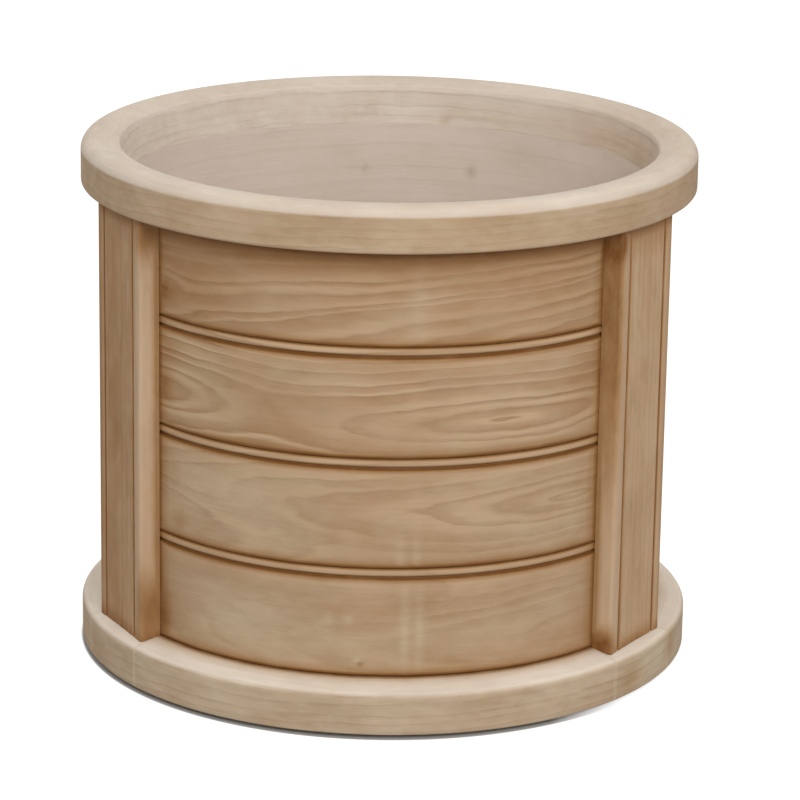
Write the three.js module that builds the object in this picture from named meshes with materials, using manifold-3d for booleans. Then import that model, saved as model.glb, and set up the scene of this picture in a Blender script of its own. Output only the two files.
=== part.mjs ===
// Round wooden planter: a plinth ring, three posts, three bays of curved beaded boards, a thin lining,
// a slatted floor and a heavy rim. Millimetres, +Z up, origin on the ground under the middle.
// Azimuth 0 is the middle of the front bay, at -Y, and azimuths grow towards +X.
import * as THREE from "three";
import { mergeVertices } from "three/addons/utils/BufferGeometryUtils.js";
import Module from "manifold-3d";

const wasm = await Module();
wasm.setup();

// ---- Driving dimensions ----

const fit = 0.3; // clearance between neighbouring pieces
const bayCount = 3; // bays of boards, with a post between each two
const boardsPerBay = 4;
const facets = 48; // flats in a full turn of every curved piece
const roundSteps = 4; // flats in each small round of a section

// The wall, from the soil outwards
const boreRadius = 257; // inside of the lining and of the rim's foot
const liningThickness = 3.7;
const boardThickness = 11;
const postProjection = 16.5; // post face in front of the board faces
const rimOverhang = 11.5; // rim edge in front of the post faces
const plinthToe = 30; // plinth edge in front of the board faces

// Heights, from the ground up
const padHeight = 4;
const plinthHeight = 47;
const boardPitch = 106.7;
const boardHousing = 12; // depth of the top boards in the rim
const rimHeight = 44;

// Rim section
const rimOuterRound = 12;
const rimLowerRound = 3;
const rimCrest = 19; // inner side of the level crest, from the rim's edge
const rimFlare = 5.5; // how far the opening widens from the rim's foot to its lip
const rimFall = 4.7; // drop of the rim's top from the crest to the lip

// Plinth section
const plinthFall = 6.6; // drop of the weathered top from the boards to the edge
const plinthRound = 5;
const plinthArris = 2;
const plinthLedge = 23; // shelf inside the lining that carries the floor

// Boards
const beadWidth = 8;
const beadDepth = 3.5;
const quirkWidth = 3;
const quirkDepth = 3;
const arrisDepth = 1.8; // chamfer under each board, which opens the joint
const arrisHeight = 1.5;
const tongueThickness = 4;
const tongueHeight = 5;

// Posts
const postWidth = 97;
const postQuirkInset = 15.5; // quirk from the post's edge
const postQuirkWidth = 3.4;
const postQuirkDepth = 2.6;
const postCornerRound = 3.5;
const boardLap = 12; // how far a post covers the ends of the boards
const tenonWidth = 50;
const tenonThickness = 12;
const tenonLength = 14;

// Loose tongues in the rim
const keyLength = 44;
const keyWidth = 22;
const keyThickness = 6;

// Plinth blocks and dowels
const blockAngle = 20; // degrees that a plinth block spans under its post
const dowelDiameter = 10;
const dowelLength = 40;
const dowelSides = 12;
const dowelBelowTop = 27; // dowel axis below the plinth's shelf

// Floor
const slatCount = 8;
const slatThickness = 18;
const slatGap = 6; // drainage
const bearerWidth = 32;
const bearerHeight = 30;
const bearerOffset = 85; // bearer middle from the planter's middle
const bearerHousing = 14; // bearer ends in the plinth

// Foot pads
const padDiameter = 44;
const padSides = 24;

// ---- Derived places ----

const liningRadius = boreRadius + liningThickness; // lining's outer face
const boardBack = liningRadius + fit;
const boardFace = boardBack + boardThickness;
const postFace = boardFace + postProjection;
const rimRadius = postFace + rimOverhang;
const plinthRadius = boardFace + plinthToe;
const plinthBore = boreRadius - plinthLedge;
const shelfHeight = padHeight + plinthHeight; // top of the plinth under boards, lining and floor
const wallFoot = shelfHeight + fit;
const wallTop = wallFoot + boardsPerBay * boardPitch;
const rimUnderside = wallTop - boardHousing;
const rimTop = rimUnderside + rimHeight;
const housingRoof = wallTop + fit;
const halfPost = postWidth / 2;
const halfTongue = halfPost - boardLap; // half width of the post's inner part, between the boards' ends
const postMiddle = (boardBack + postFace) / 2;
const bayAngle = 360 / bayCount;
const beyond = 3 * plinthRadius; // reaches outside every piece
const jointRadius = (plinthBore + plinthRadius) / 2; // middle of the plinth's width

// ---- Geometry helpers ----

const radians = THREE.MathUtils.degToRad;

/** Closed solid of a three.js geometry, for cutting and joining. */
function solid(geometry) {
  const bare = geometry.clone();
  bare.deleteAttribute("normal");
  bare.deleteAttribute("uv");
  const merged = mergeVertices(bare);
  const vertProperties = new Float32Array(merged.attributes.position.array);
  const triVerts = new Uint32Array(merged.index.array);
  return new wasm.Manifold(new wasm.Mesh({ numProp: 3, vertProperties, triVerts }));
}

/** three.js geometry of a solid. */
function geometryOf(body) {
  const mesh = body.getMesh();
  const geometry = new THREE.BufferGeometry();
  geometry.setAttribute("position", new THREE.BufferAttribute(mesh.vertProperties, 3));
  geometry.setIndex(new THREE.BufferAttribute(mesh.triVerts, 1));
  geometry.computeVertexNormals();
  return geometry;
}

/** First solid with every cutter taken away. */
function cut(body, cutters) {
  return cutters.reduce((rest, cutter) => rest.subtract(cutter), body);
}

/** Points of an arc in a section, from one angle to another in degrees. */
function arc(centreX, centreY, radius, from, to) {
  return Array.from({ length: roundSteps + 1 }, (_, i) => {
    const angle = radians(from + ((to - from) * i) / roundSteps);
    return [centreX + radius * Math.cos(angle), centreY + radius * Math.sin(angle)];
  });
}

/** Full ring from a section of [radius, height] points, given anticlockwise. */
function ring(section) {
  const closed = [...section, section[0]].map(([radius, height]) => new THREE.Vector2(radius, height));
  return solid(new THREE.LatheGeometry(closed, facets).rotateX(Math.PI / 2));
}

/** Round disc on the planter's axis, with flats that line up with the rings'. */
function disc(radius, bottom, top) {
  const geometry = new THREE.CylinderGeometry(radius, radius, top - bottom, facets);
  return solid(geometry.rotateX(Math.PI / 2).translate(0, 0, (bottom + top) / 2));
}

/** Upright prism of an outline of [x, y] points. */
function prism(outline, bottom, top) {
  const shape = new THREE.Shape(outline.map(([x, y]) => new THREE.Vector2(x, y)));
  const geometry = new THREE.ExtrudeGeometry(shape, { depth: top - bottom, bevelEnabled: false });
  return solid(geometry.translate(0, 0, bottom));
}

/** Wedge about azimuth 0 whose two sides stand back by a setback from the rays at plus and minus half. */
function wedge(half, setback) {
  const side = Math.sin(radians(half));
  const ahead = Math.cos(radians(half));
  const apex = -setback / side;
  const outline = [
    [0, apex],
    [beyond * side, apex - beyond * ahead],
    [-beyond * side, apex - beyond * ahead],
  ];
  return prism(outline, -rimTop, 2 * rimTop);
}

/** Box geometry between two corners, turned to an azimuth. */
function block(low, high, azimuth = 0) {
  const size = high.map((value, i) => value - low[i]);
  const middle = high.map((value, i) => (value + low[i]) / 2);
  return solid(new THREE.BoxGeometry(...size).translate(...middle).rotateZ(radians(azimuth)));
}

// ---- Pieces, each built about azimuth 0 ----

/** Space of a tenon between two heights, at an azimuth, grown by a clearance. */
function tenon(bottom, top, azimuth = 0, clearance = 0) {
  const halfWidth = tenonWidth / 2 + clearance;
  const halfThickness = tenonThickness / 2 + clearance;
  return block(
    [-halfWidth, -postMiddle - halfThickness, bottom - clearance],
    [halfWidth, -postMiddle + halfThickness, top + clearance],
    azimuth,
  );
}

/** Space of a loose tongue across a rim joint, grown by a clearance. */
function rimKey(azimuth = 0, clearance = 0) {
  const middleRadius = (boreRadius + rimRadius) / 2;
  const mortiseRoof = rimUnderside + tenonLength + fit;
  const middleHeight = (mortiseRoof + rimTop) / 2;
  const [x, y, z] = [keyLength, keyWidth, keyThickness].map((size) => size / 2 + clearance);
  return block([-x, -middleRadius - y, middleHeight - z], [x, -middleRadius + y, middleHeight + z], azimuth);
}

/** Dowel across a plinth joint at an azimuth, grown by a clearance. */
function plinthDowel(azimuth, clearance = 0) {
  const radius = dowelDiameter / 2 + clearance;
  const geometry = new THREE.CylinderGeometry(radius, radius, dowelLength + 2 * clearance, dowelSides);
  geometry.rotateZ(Math.PI / 2).translate(0, -jointRadius, shelfHeight - dowelBelowTop);
  return solid(geometry.rotateZ(radians(azimuth)));
}

/** Floor bearer on one side (-1 or 1), grown by a clearance and turned by an azimuth. */
function bearer(side, azimuth = 0, clearance = 0) {
  const x = side * bearerOffset;
  const half = bearerWidth / 2 + clearance;
  const bottom = shelfHeight - bearerHeight - clearance;
  const reach = plinthBore + bearerHousing + clearance;
  const bar = block([x - half, -reach, bottom], [x + half, reach, shelfHeight + clearance]);
  const trimmed = bar.intersect(disc(reach, bottom, shelfHeight + clearance));
  return solid(geometryOf(trimmed).rotateZ(radians(azimuth)));
}

/** Rim ring with a flared opening and the housing for the boards in its underside. */
function rimRing() {
  return ring([
    [boreRadius, rimUnderside],
    [liningRadius, rimUnderside],
    [liningRadius, housingRoof],
    [boardFace + fit, housingRoof],
    [boardFace + fit, rimUnderside],
    ...arc(rimRadius - rimLowerRound, rimUnderside + rimLowerRound, rimLowerRound, -90, 0),
    ...arc(rimRadius - rimOuterRound, rimTop - rimOuterRound, rimOuterRound, 0, 90),
    [rimRadius - rimCrest, rimTop],
    [boreRadius + rimFlare, rimTop - rimFall],
  ]);
}

/** Rim segment over one bay, with half a tenon mortise and half a key slot at each end. */
function rimSegment() {
  const ends = [-bayAngle / 2, bayAngle / 2];
  const mortises = ends.map((end) => tenon(rimUnderside - fit, rimUnderside + tenonLength, end, fit));
  const slots = ends.map((end) => rimKey(end, fit));
  return cut(rimRing().intersect(wedge(bayAngle / 2, fit / 2)), [...mortises, ...slots]);
}

/** Plinth ring: a flat shelf under the wall and a weathered top outside it. */
function plinthRing() {
  const slope = THREE.MathUtils.radToDeg(Math.atan(plinthFall / plinthToe));
  const edgeTop = shelfHeight - plinthFall;
  return ring([
    [plinthBore, padHeight],
    [plinthRadius - plinthArris, padHeight],
    [plinthRadius, padHeight + plinthArris],
    ...arc(plinthRadius - plinthRound, edgeTop - plinthRound, plinthRound, 0, 90 - slope),
    [boardFace, shelfHeight],
    [plinthBore, shelfHeight],
  ]);
}

/** Everything below the plinth's top and a clearance above it, to scribe the post feet with. */
function plinthTop() {
  return ring([
    [plinthBore, 0],
    [plinthRadius, 0],
    [plinthRadius, shelfHeight - plinthFall + fit],
    [boardFace, wallFoot],
    [plinthBore, wallFoot],
  ]);
}

/** Long plinth segment of one bay, housed for the bearers that end in it at the bay's azimuth. */
function plinthSegment(azimuth) {
  const half = (bayAngle - blockAngle) / 2;
  const bores = [-half, half].map((end) => plinthDowel(end, fit));
  const housings = [-1, 1].map((side) => bearer(side, -azimuth, fit));
  return cut(plinthRing().intersect(wedge(half, fit / 2)), [...bores, ...housings]);
}

/** Plinth block under a post, mortised for the post's tenon. */
function plinthBlock() {
  const half = blockAngle / 2;
  const bores = [-half, half].map((end) => plinthDowel(end, fit));
  const mortise = tenon(shelfHeight - tenonLength, shelfHeight + fit, 0, fit);
  return cut(plinthRing().intersect(wedge(half, fit / 2)), [...bores, mortise]);
}

/** Section of a post: quirk, rounded bead and wing on each side, and a curved back against the lining. */
function postOutline() {
  const quirk = halfPost - postQuirkInset;
  const corner = [halfPost - postCornerRound, postFace - postCornerRound];
  const wingBack = (across) => [across, Math.sqrt((boardFace + fit) ** 2 - across ** 2)];
  const backAngle = THREE.MathUtils.radToDeg(Math.asin(halfTongue / boardBack));
  const right = [
    [quirk - postQuirkWidth / 2, postFace],
    [quirk, postFace - postQuirkDepth],
    [quirk + postQuirkWidth / 2, postFace],
    ...arc(...corner, postCornerRound, 90, 0),
    wingBack(halfPost),
    wingBack(halfTongue),
    ...arc(0, 0, boardBack, 90 - backAngle, 90),
  ];
  const left = right.slice(0, -1).reverse().map(([across, out]) => [-across, out]);
  return [...right, ...left].map(([across, out]) => [across, -out]);
}

/** Post, scribed to the plinth, with a stub tenon at each end. */
function post() {
  const top = rimUnderside - fit;
  const shaft = prism(postOutline(), shelfHeight - 2 * plinthFall, top).subtract(plinthTop());
  const root = tenon(shelfHeight - tenonLength, shelfHeight + tenonLength);
  const head = tenon(top - tenonLength, rimUnderside + tenonLength);
  return shaft.add(root).add(head);
}

/** Section of the board at a row, counted from the bottom, in [radius, height] points. */
function boardSection(row) {
  const low = wallFoot + row * boardPitch;
  const high = low + boardPitch - fit;
  const tongueMiddle = boardBack + (boardThickness - beadDepth) / 2;
  const tongue = tongueThickness / 2;
  const groove = tongue + fit;
  const grooveRoof = low + tongueHeight + fit;
  const beadFoot = high - beadWidth;
  const underside = [
    [tongueMiddle - groove, low],
    [tongueMiddle - groove, grooveRoof],
    [tongueMiddle + groove, grooveRoof],
    [tongueMiddle + groove, low],
  ];
  const topside = [
    [tongueMiddle + tongue, high],
    [tongueMiddle + tongue, high + tongueHeight],
    [tongueMiddle - tongue, high + tongueHeight],
    [tongueMiddle - tongue, high],
  ];
  const bead = arc(0, 0, 1, -90, 90).map(([out, up]) => [
    boardFace - beadDepth + beadDepth * out,
    beadFoot + (beadWidth / 2) * (1 + up),
  ]);
  const isBottom = row === 0;
  const isTop = row === boardsPerBay - 1;
  return [
    [boardBack, low],
    ...(isBottom ? [] : underside),
    [boardFace - arrisDepth, low],
    [boardFace, low + arrisHeight],
    ...(isTop
      ? [[boardFace, high]]
      : [[boardFace, beadFoot - quirkWidth], [boardFace - quirkDepth, beadFoot - quirkWidth / 2], ...bead]),
    ...(isTop ? [] : topside),
    [boardBack, high],
  ];
}

/** Curved board of a bay, cut square to the posts at its ends. */
function board(row) {
  return ring(boardSection(row)).intersect(wedge(bayAngle / 2, halfTongue + fit));
}

/** Bent lining sheet behind one bay, meeting its neighbours behind the posts. */
function liningSheet() {
  const sheet = ring([
    [boreRadius, wallFoot],
    [liningRadius, wallFoot],
    [liningRadius, rimUnderside - fit],
    [boreRadius, rimUnderside - fit],
  ]);
  return sheet.intersect(wedge(bayAngle / 2, fit / 2));
}

/** Floor slat, counted from the front, rounded at its ends to the lining. */
function floorSlat(index) {
  const radius = boreRadius - fit;
  const width = (2 * radius - (slatCount - 1) * slatGap) / slatCount;
  const front = -radius + index * (width + slatGap);
  const bar = block([-radius, front, wallFoot], [radius, front + width, wallFoot + slatThickness]);
  return bar.intersect(disc(radius, wallFoot, wallFoot + slatThickness));
}

/** Round foot pad under a plinth block. */
function footPad() {
  const geometry = new THREE.CylinderGeometry(padDiameter / 2, padDiameter / 2, padHeight, padSides);
  return solid(geometry.rotateX(Math.PI / 2).translate(0, -jointRadius, padHeight / 2));
}

// ---- Finishes and assembly ----

const finishes = {
  rim: { color: 0xc2b094, roughness: 0.72, metalness: 0 },
  plinth: { color: 0xb9a588, roughness: 0.74, metalness: 0 },
  post: { color: 0xa58e70, roughness: 0.74, metalness: 0 },
  board: { color: 0xae9472, roughness: 0.74, metalness: 0 },
  lining: { color: 0xbcab98, roughness: 0.8, metalness: 0 },
  bare: { color: 0xb08d62, roughness: 0.85, metalness: 0 },
  pad: { color: 0x2b2a28, roughness: 0.9, metalness: 0 },
};

/** Named piece of the planter in one of the finishes. */
function piece(name, body, finish) {
  const mesh = new THREE.Mesh(geometryOf(body), new THREE.MeshStandardMaterial(finishes[finish]));
  mesh.name = name;
  return mesh;
}

/** Group of pieces turned to an azimuth. */
function turned(azimuth, pieces) {
  const group = new THREE.Group();
  group.rotation.z = radians(azimuth);
  group.add(...pieces);
  return group;
}

/** One bay: its boards, lining, rim segment and plinth segment. */
function bay(name, azimuth) {
  const boards = Array.from({ length: boardsPerBay }, (_, row) =>
    piece(`${name}_board_${row + 1}`, board(row), "board"),
  );
  return turned(azimuth, [
    ...boards,
    piece(`${name}_lining_sheet`, liningSheet(), "lining"),
    piece(`${name}_rim_segment`, rimSegment(), "rim"),
    piece(`${name}_plinth_segment`, plinthSegment(azimuth), "plinth"),
  ]);
}

/** One post with its plinth block, foot pad, rim key and the two dowels of its block. */
function postStation(name, azimuth) {
  const half = blockAngle / 2;
  return turned(azimuth, [
    piece(`${name}_post`, post(), "post"),
    piece(`${name}_plinth_block`, plinthBlock(), "plinth"),
    piece(`${name}_foot_pad`, footPad(), "pad"),
    piece(`${name}_rim_key`, rimKey(), "bare"),
    piece(`${name}_plinth_dowel_1`, plinthDowel(-half), "bare"),
    piece(`${name}_plinth_dowel_2`, plinthDowel(half), "bare"),
  ]);
}

/** Slatted floor on its two bearers. */
function floor() {
  const slats = Array.from({ length: slatCount }, (_, i) =>
    piece(`floor_slat_${i + 1}`, floorSlat(i), "bare"),
  );
  const bearers = [-1, 1].map((side, i) => piece(`floor_bearer_${i + 1}`, bearer(side), "bare"));
  return turned(0, [...slats, ...bearers]);
}

const bayNames = ["front", "right", "left"];
const postNames = ["right", "back", "left"];

const planter = new THREE.Group();
bayNames.forEach((name, i) => planter.add(bay(name, i * bayAngle)));
postNames.forEach((name, i) => planter.add(postStation(name, (i + 0.5) * bayAngle)));
planter.add(floor());

export default planter;
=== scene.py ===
"""Looks of a round wooden planter: limed wood with a brown stain settled in its quirks and corners.

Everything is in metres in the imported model's frame: +Z up, the ground at z = 0, the planter's axis on
x = y = 0. Azimuth 0 is the middle of the front bay, at -Y, and azimuths grow towards +X.
"""

import logging
import math
from collections.abc import Callable, Sequence
from dataclasses import dataclass, field, replace
from enum import Enum
from functools import cache

import bmesh
import bpy
from mathutils import Matrix, Vector


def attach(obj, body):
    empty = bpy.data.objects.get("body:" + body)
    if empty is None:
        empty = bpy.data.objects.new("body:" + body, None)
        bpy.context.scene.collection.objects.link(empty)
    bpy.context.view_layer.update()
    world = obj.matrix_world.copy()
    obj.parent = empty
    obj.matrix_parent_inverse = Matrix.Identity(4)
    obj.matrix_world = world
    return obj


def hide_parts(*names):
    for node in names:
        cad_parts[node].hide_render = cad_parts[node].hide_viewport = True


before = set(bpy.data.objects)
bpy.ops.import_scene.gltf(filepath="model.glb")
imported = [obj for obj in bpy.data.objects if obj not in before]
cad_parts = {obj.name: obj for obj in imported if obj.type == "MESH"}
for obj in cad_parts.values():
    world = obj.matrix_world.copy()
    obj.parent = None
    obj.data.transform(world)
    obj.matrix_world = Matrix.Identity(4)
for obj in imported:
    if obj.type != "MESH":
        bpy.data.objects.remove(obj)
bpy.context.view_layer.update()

log = logging.getLogger("planter")

BODY = "root"


# ---- Shared sizes -------------------------------------------------------------------------------


@dataclass(frozen=True)
class Wall:
    """Radii that the pieces share, from the soil outwards, in metres."""

    bore: float = 0.257
    lining_outer: float = 0.2607
    board_back: float = 0.261
    board_face: float = 0.272
    post_face: float = 0.2885
    rim_outer: float = 0.300
    plinth_outer: float = 0.302
    plinth_bore: float = 0.234


@dataclass(frozen=True)
class Levels:
    """Heights that the pieces share, from the ground up, in metres."""

    pad_top: float = 0.004
    plinth_edge: float = 0.0444
    shelf: float = 0.051
    wall_foot: float = 0.0513
    board_pitch: float = 0.1067
    rim_underside: float = 0.4661
    housing_roof: float = 0.4784
    rim_top: float = 0.5101
    clearance: float = 0.0003

    @property
    def foot_slope(self) -> float:
        """Fall of the plinth's top for each metre outwards."""
        wall = Wall()
        return (self.shelf - self.plinth_edge) / (wall.plinth_outer - wall.board_face)


class Bay(Enum):
    """Bays of boards and the azimuth of their middles, in degrees."""

    FRONT = 0
    RIGHT = 120
    LEFT = 240


class Station(Enum):
    """Places of the posts and their azimuths, in degrees."""

    RIGHT = 60
    BACK = 180
    LEFT = 300


WALL = Wall()
LEVELS = Levels()
BAY_HALF = 60.0
BLOCK_HALF = 10.0
STEP_DEGREES = 1.25
FINE_STEP = 0.6
HAIRLINE = 0.03
RIM_HAIRLINE = 0.004
TOUCH = 1e-6


# ---- Shapes -------------------------------------------------------------------------------------


@dataclass(frozen=True)
class Corner:
    """Corner of a section or outline.

    Attributes:
        across: radius of a section, or place across an outline.
        up: height of a section, or place outwards on an outline.
        rounding: how far the corner is rounded, or 0 for a sharp one.
        segments: flats in the rounding.
    """

    across: float
    up: float
    rounding: float = 0.0
    segments: int = 3


def outline_face(corners: Sequence[Corner],
                 place: Callable[[float, float], Vector]) -> bmesh.types.BMesh:
    """Makes one flat face from corners and rounds the corners that ask for it.

    Args:
        corners: corners in order round the face.
        place: gives the point in space of a corner's two values.

    Returns:
        A bmesh with the rounded face.
    """
    bm = bmesh.new()
    verts = [bm.verts.new(place(corner.across, corner.up)) for corner in corners]
    bm.faces.new(verts)
    for corner, vert in zip(corners, verts):
        if corner.rounding:
            bmesh.ops.bevel(
                bm, geom=[vert], offset=corner.rounding, offset_type="OFFSET", segments=corner.segments,
                profile=0.5, affect="VERTICES", material=-1,
            )
    return bm


def slice_level(bm: bmesh.types.BMesh, heights: Sequence[float]) -> None:
    """Cuts level loops into a shape.

    Args:
        bm: the shape.
        heights: heights of the loops.
    """
    for height in heights:
        bmesh.ops.bisect_plane(
            bm, geom=[*bm.verts, *bm.edges, *bm.faces], dist=TOUCH, plane_co=(0, 0, height),
            plane_no=(0, 0, 1),
        )


def sweep(corners: Sequence[Corner], half: float, loops: Sequence[float] = (),
          step: float = STEP_DEGREES) -> bmesh.types.BMesh:
    """Sweeps a section of (radius, height) corners round the planter's axis, about azimuth 0.

    Args:
        corners: corners of the section.
        half: degrees on each side of azimuth 0.
        loops: heights at which level loops are cut.
        step: about how many degrees lie between two sections.

    Returns:
        A closed solid.
    """
    bm = outline_face(corners, lambda radius, height: Vector((0, -radius, height)))
    slice_level(bm, loops)
    bmesh.ops.rotate(bm, verts=bm.verts, matrix=Matrix.Rotation(math.radians(-half), 3, "Z"))
    steps = 2 * max(1, round(half / step))
    geometry = [*bm.verts, *bm.edges, *bm.faces]
    bmesh.ops.spin(
        bm, geom=geometry, cent=(0, 0, 0), axis=(0, 0, 1), angle=math.radians(2 * half), steps=steps,
    )
    bmesh.ops.recalc_face_normals(bm, faces=bm.faces)
    return bm


def raise_outline(bm: bmesh.types.BMesh, height: float) -> None:
    """Extrudes a flat outline upwards into a closed solid.

    Args:
        bm: the outline, lying level.
        height: how far it rises.
    """
    top = bmesh.ops.extrude_face_region(bm, geom=bm.faces[:])
    risen = [item for item in top["geom"] if isinstance(item, bmesh.types.BMVert)]
    bmesh.ops.translate(bm, verts=risen, vec=(0, 0, height))
    bmesh.ops.recalc_face_normals(bm, faces=bm.faces)


def soften_level_edges(bm: bmesh.types.BMesh, width: float) -> None:
    """Bevels the edges that lie level.

    Args:
        bm: the shape.
        width: width of the bevel.
    """
    level = [edge for edge in bm.edges if abs(edge.verts[0].co.z - edge.verts[1].co.z) < TOUCH]
    bmesh.ops.bevel(
        bm, geom=level, offset=width, offset_type="OFFSET", segments=2, profile=0.5, affect="EDGES",
        material=-1,
    )


def azimuth_of(point: Vector) -> float:
    """Azimuth of a point in radians."""
    return math.atan2(point.x, -point.y)


def turn_of(place: Bay | Station) -> float:
    """Azimuth of a bay's middle or of a post in radians, from -pi to pi."""
    return math.remainder(math.radians(place.value), 2 * math.pi)


def spread(low: float, high: float, count: int) -> list[float]:
    """Evenly spaced values between two ends, without the ends."""
    return [low + (high - low) * (i + 1) / (count + 1) for i in range(count)]


# ---- Places for the patterns --------------------------------------------------------------------


@dataclass(frozen=True)
class Eye:
    """Middle of a nest of growth rings on a piece.

    Attributes:
        along: place along the grain.
        across: place across the grain.
        taper: how fast the rings close in along the grain.
        reach: how much nearer the eye counts than it is, which widens its share of the piece.
    """

    along: float
    across: float
    taper: float = 0.15
    reach: float = 0.0


@dataclass(frozen=True)
class Spot:
    """Soft round patch, used for stain, for wash and for painted shade.

    Attributes:
        along: place along the grain.
        across: place across the grain.
        length: reach along the grain.
        width: reach across the grain.
        strength: mask value in its middle.
    """

    along: float
    across: float
    length: float
    width: float
    strength: float = 1.0

    def at(self, along: float, across: float) -> float:
        """Mask value of the patch at a place."""
        square = ((along - self.along) / self.length) ** 2 + ((across - self.across) / self.width) ** 2
        return self.strength * math.exp(-square)


@dataclass(frozen=True)
class Lie:
    """How the grain lies at a point: along, across and into the wood, and the place for the stain, the
    painted shade and the zones.
    """

    along: float
    across: float
    depth: float
    stain_place: tuple[float, float, float]


def plain_lie(point: Vector) -> Lie:
    """Grain along X, with no place for the stain."""
    return Lie(point.x, point.y, point.z, (0.0, 0.0, 0.0))


@dataclass(frozen=True)
class Figure:
    """Growth rings, and patches of stain, wash and painted shade, of one piece.

    Attributes:
        eyes: two ring middles.
        spots: patches of stain, and of painted shade where a piece asks for it.
        washes: patches of pale wash.
        rings: how strongly the rings show, where 1 is the finish's own strength.
        seed: shifts the random patterns, so that no two pieces match.
    """

    eyes: tuple[Eye, Eye]
    spots: tuple[Spot, ...] = ()
    washes: tuple[Spot, ...] = ()
    rings: float = 1.0
    seed: int = 0


def far_figure(seed: int) -> Figure:
    """Figure of a straight-grained piece, with its ring middles far off.

    Args:
        seed: shifts the middles and the random patterns.

    Returns:
        The figure.
    """
    swing = math.sin(seed * 2.4)
    return Figure(
        eyes=(Eye(0.5 + 0.1 * swing, -0.09 - 0.03 * swing, 0.06), Eye(-0.6, 0.16 + 0.04 * swing, 0.05)),
        seed=seed,
    )


RING_FIGURE = far_figure(1)
SEED_SHIFT = Vector((1.37, 0.71, 0.43))


def write_places(mesh: bpy.types.Mesh, lie: Callable[[Vector], Lie], figure: Figure) -> None:
    """Writes the attributes that the finishes read.

    Args:
        mesh: the piece's mesh, still about azimuth 0.
        lie: gives how the grain lies at a point.
        figure: the piece's rings and patches.
    """
    places = [lie(vertex.co) for vertex in mesh.vertices]
    shift = SEED_SHIFT * (figure.seed + 1)
    vectors = {
        "grain": [Vector((place.along, place.across, place.depth)) + shift for place in places],
        "stain_place": [place.stain_place for place in places],
    }
    for name, eye in zip(("eye_a", "eye_b"), figure.eyes):
        vectors[name] = [
            (eye.taper * (place.along - eye.along), place.across - eye.across, place.depth)
            for place in places
        ]
    for name, values in vectors.items():
        layer = mesh.attributes.new(name, "FLOAT_VECTOR", "POINT")
        layer.data.foreach_set("vector", [part for value in values for part in value])
    lead = figure.eyes[1].reach - figure.eyes[0].reach
    numbers = {"lead": [lead] * len(places), "rings": [figure.rings] * len(places)}
    for name, patches in (("spot", figure.spots), ("wash", figure.washes)):
        numbers[name] = [
            min(1.0, sum(patch.at(place.along, place.across) for patch in patches))
            for place in places
        ]
    for name, values in numbers.items():
        layer = mesh.attributes.new(name, "FLOAT", "POINT")
        layer.data.foreach_set("value", values)


# ---- Shader building ----------------------------------------------------------------------------

Stops = tuple[tuple[float, float], ...]
Source = "bpy.types.NodeSocket | float | tuple[float, ...]"


def srgb(red: int, green: int, blue: int) -> tuple[float, float, float, float]:
    """Linear colour of three values from 0 to 255, as they look on a screen."""
    linear = [
        value / 255 / 12.92 if value <= 10 else ((value / 255 + 0.055) / 1.055) ** 2.4
        for value in (red, green, blue)
    ]
    return (*linear, 1.0)


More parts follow.
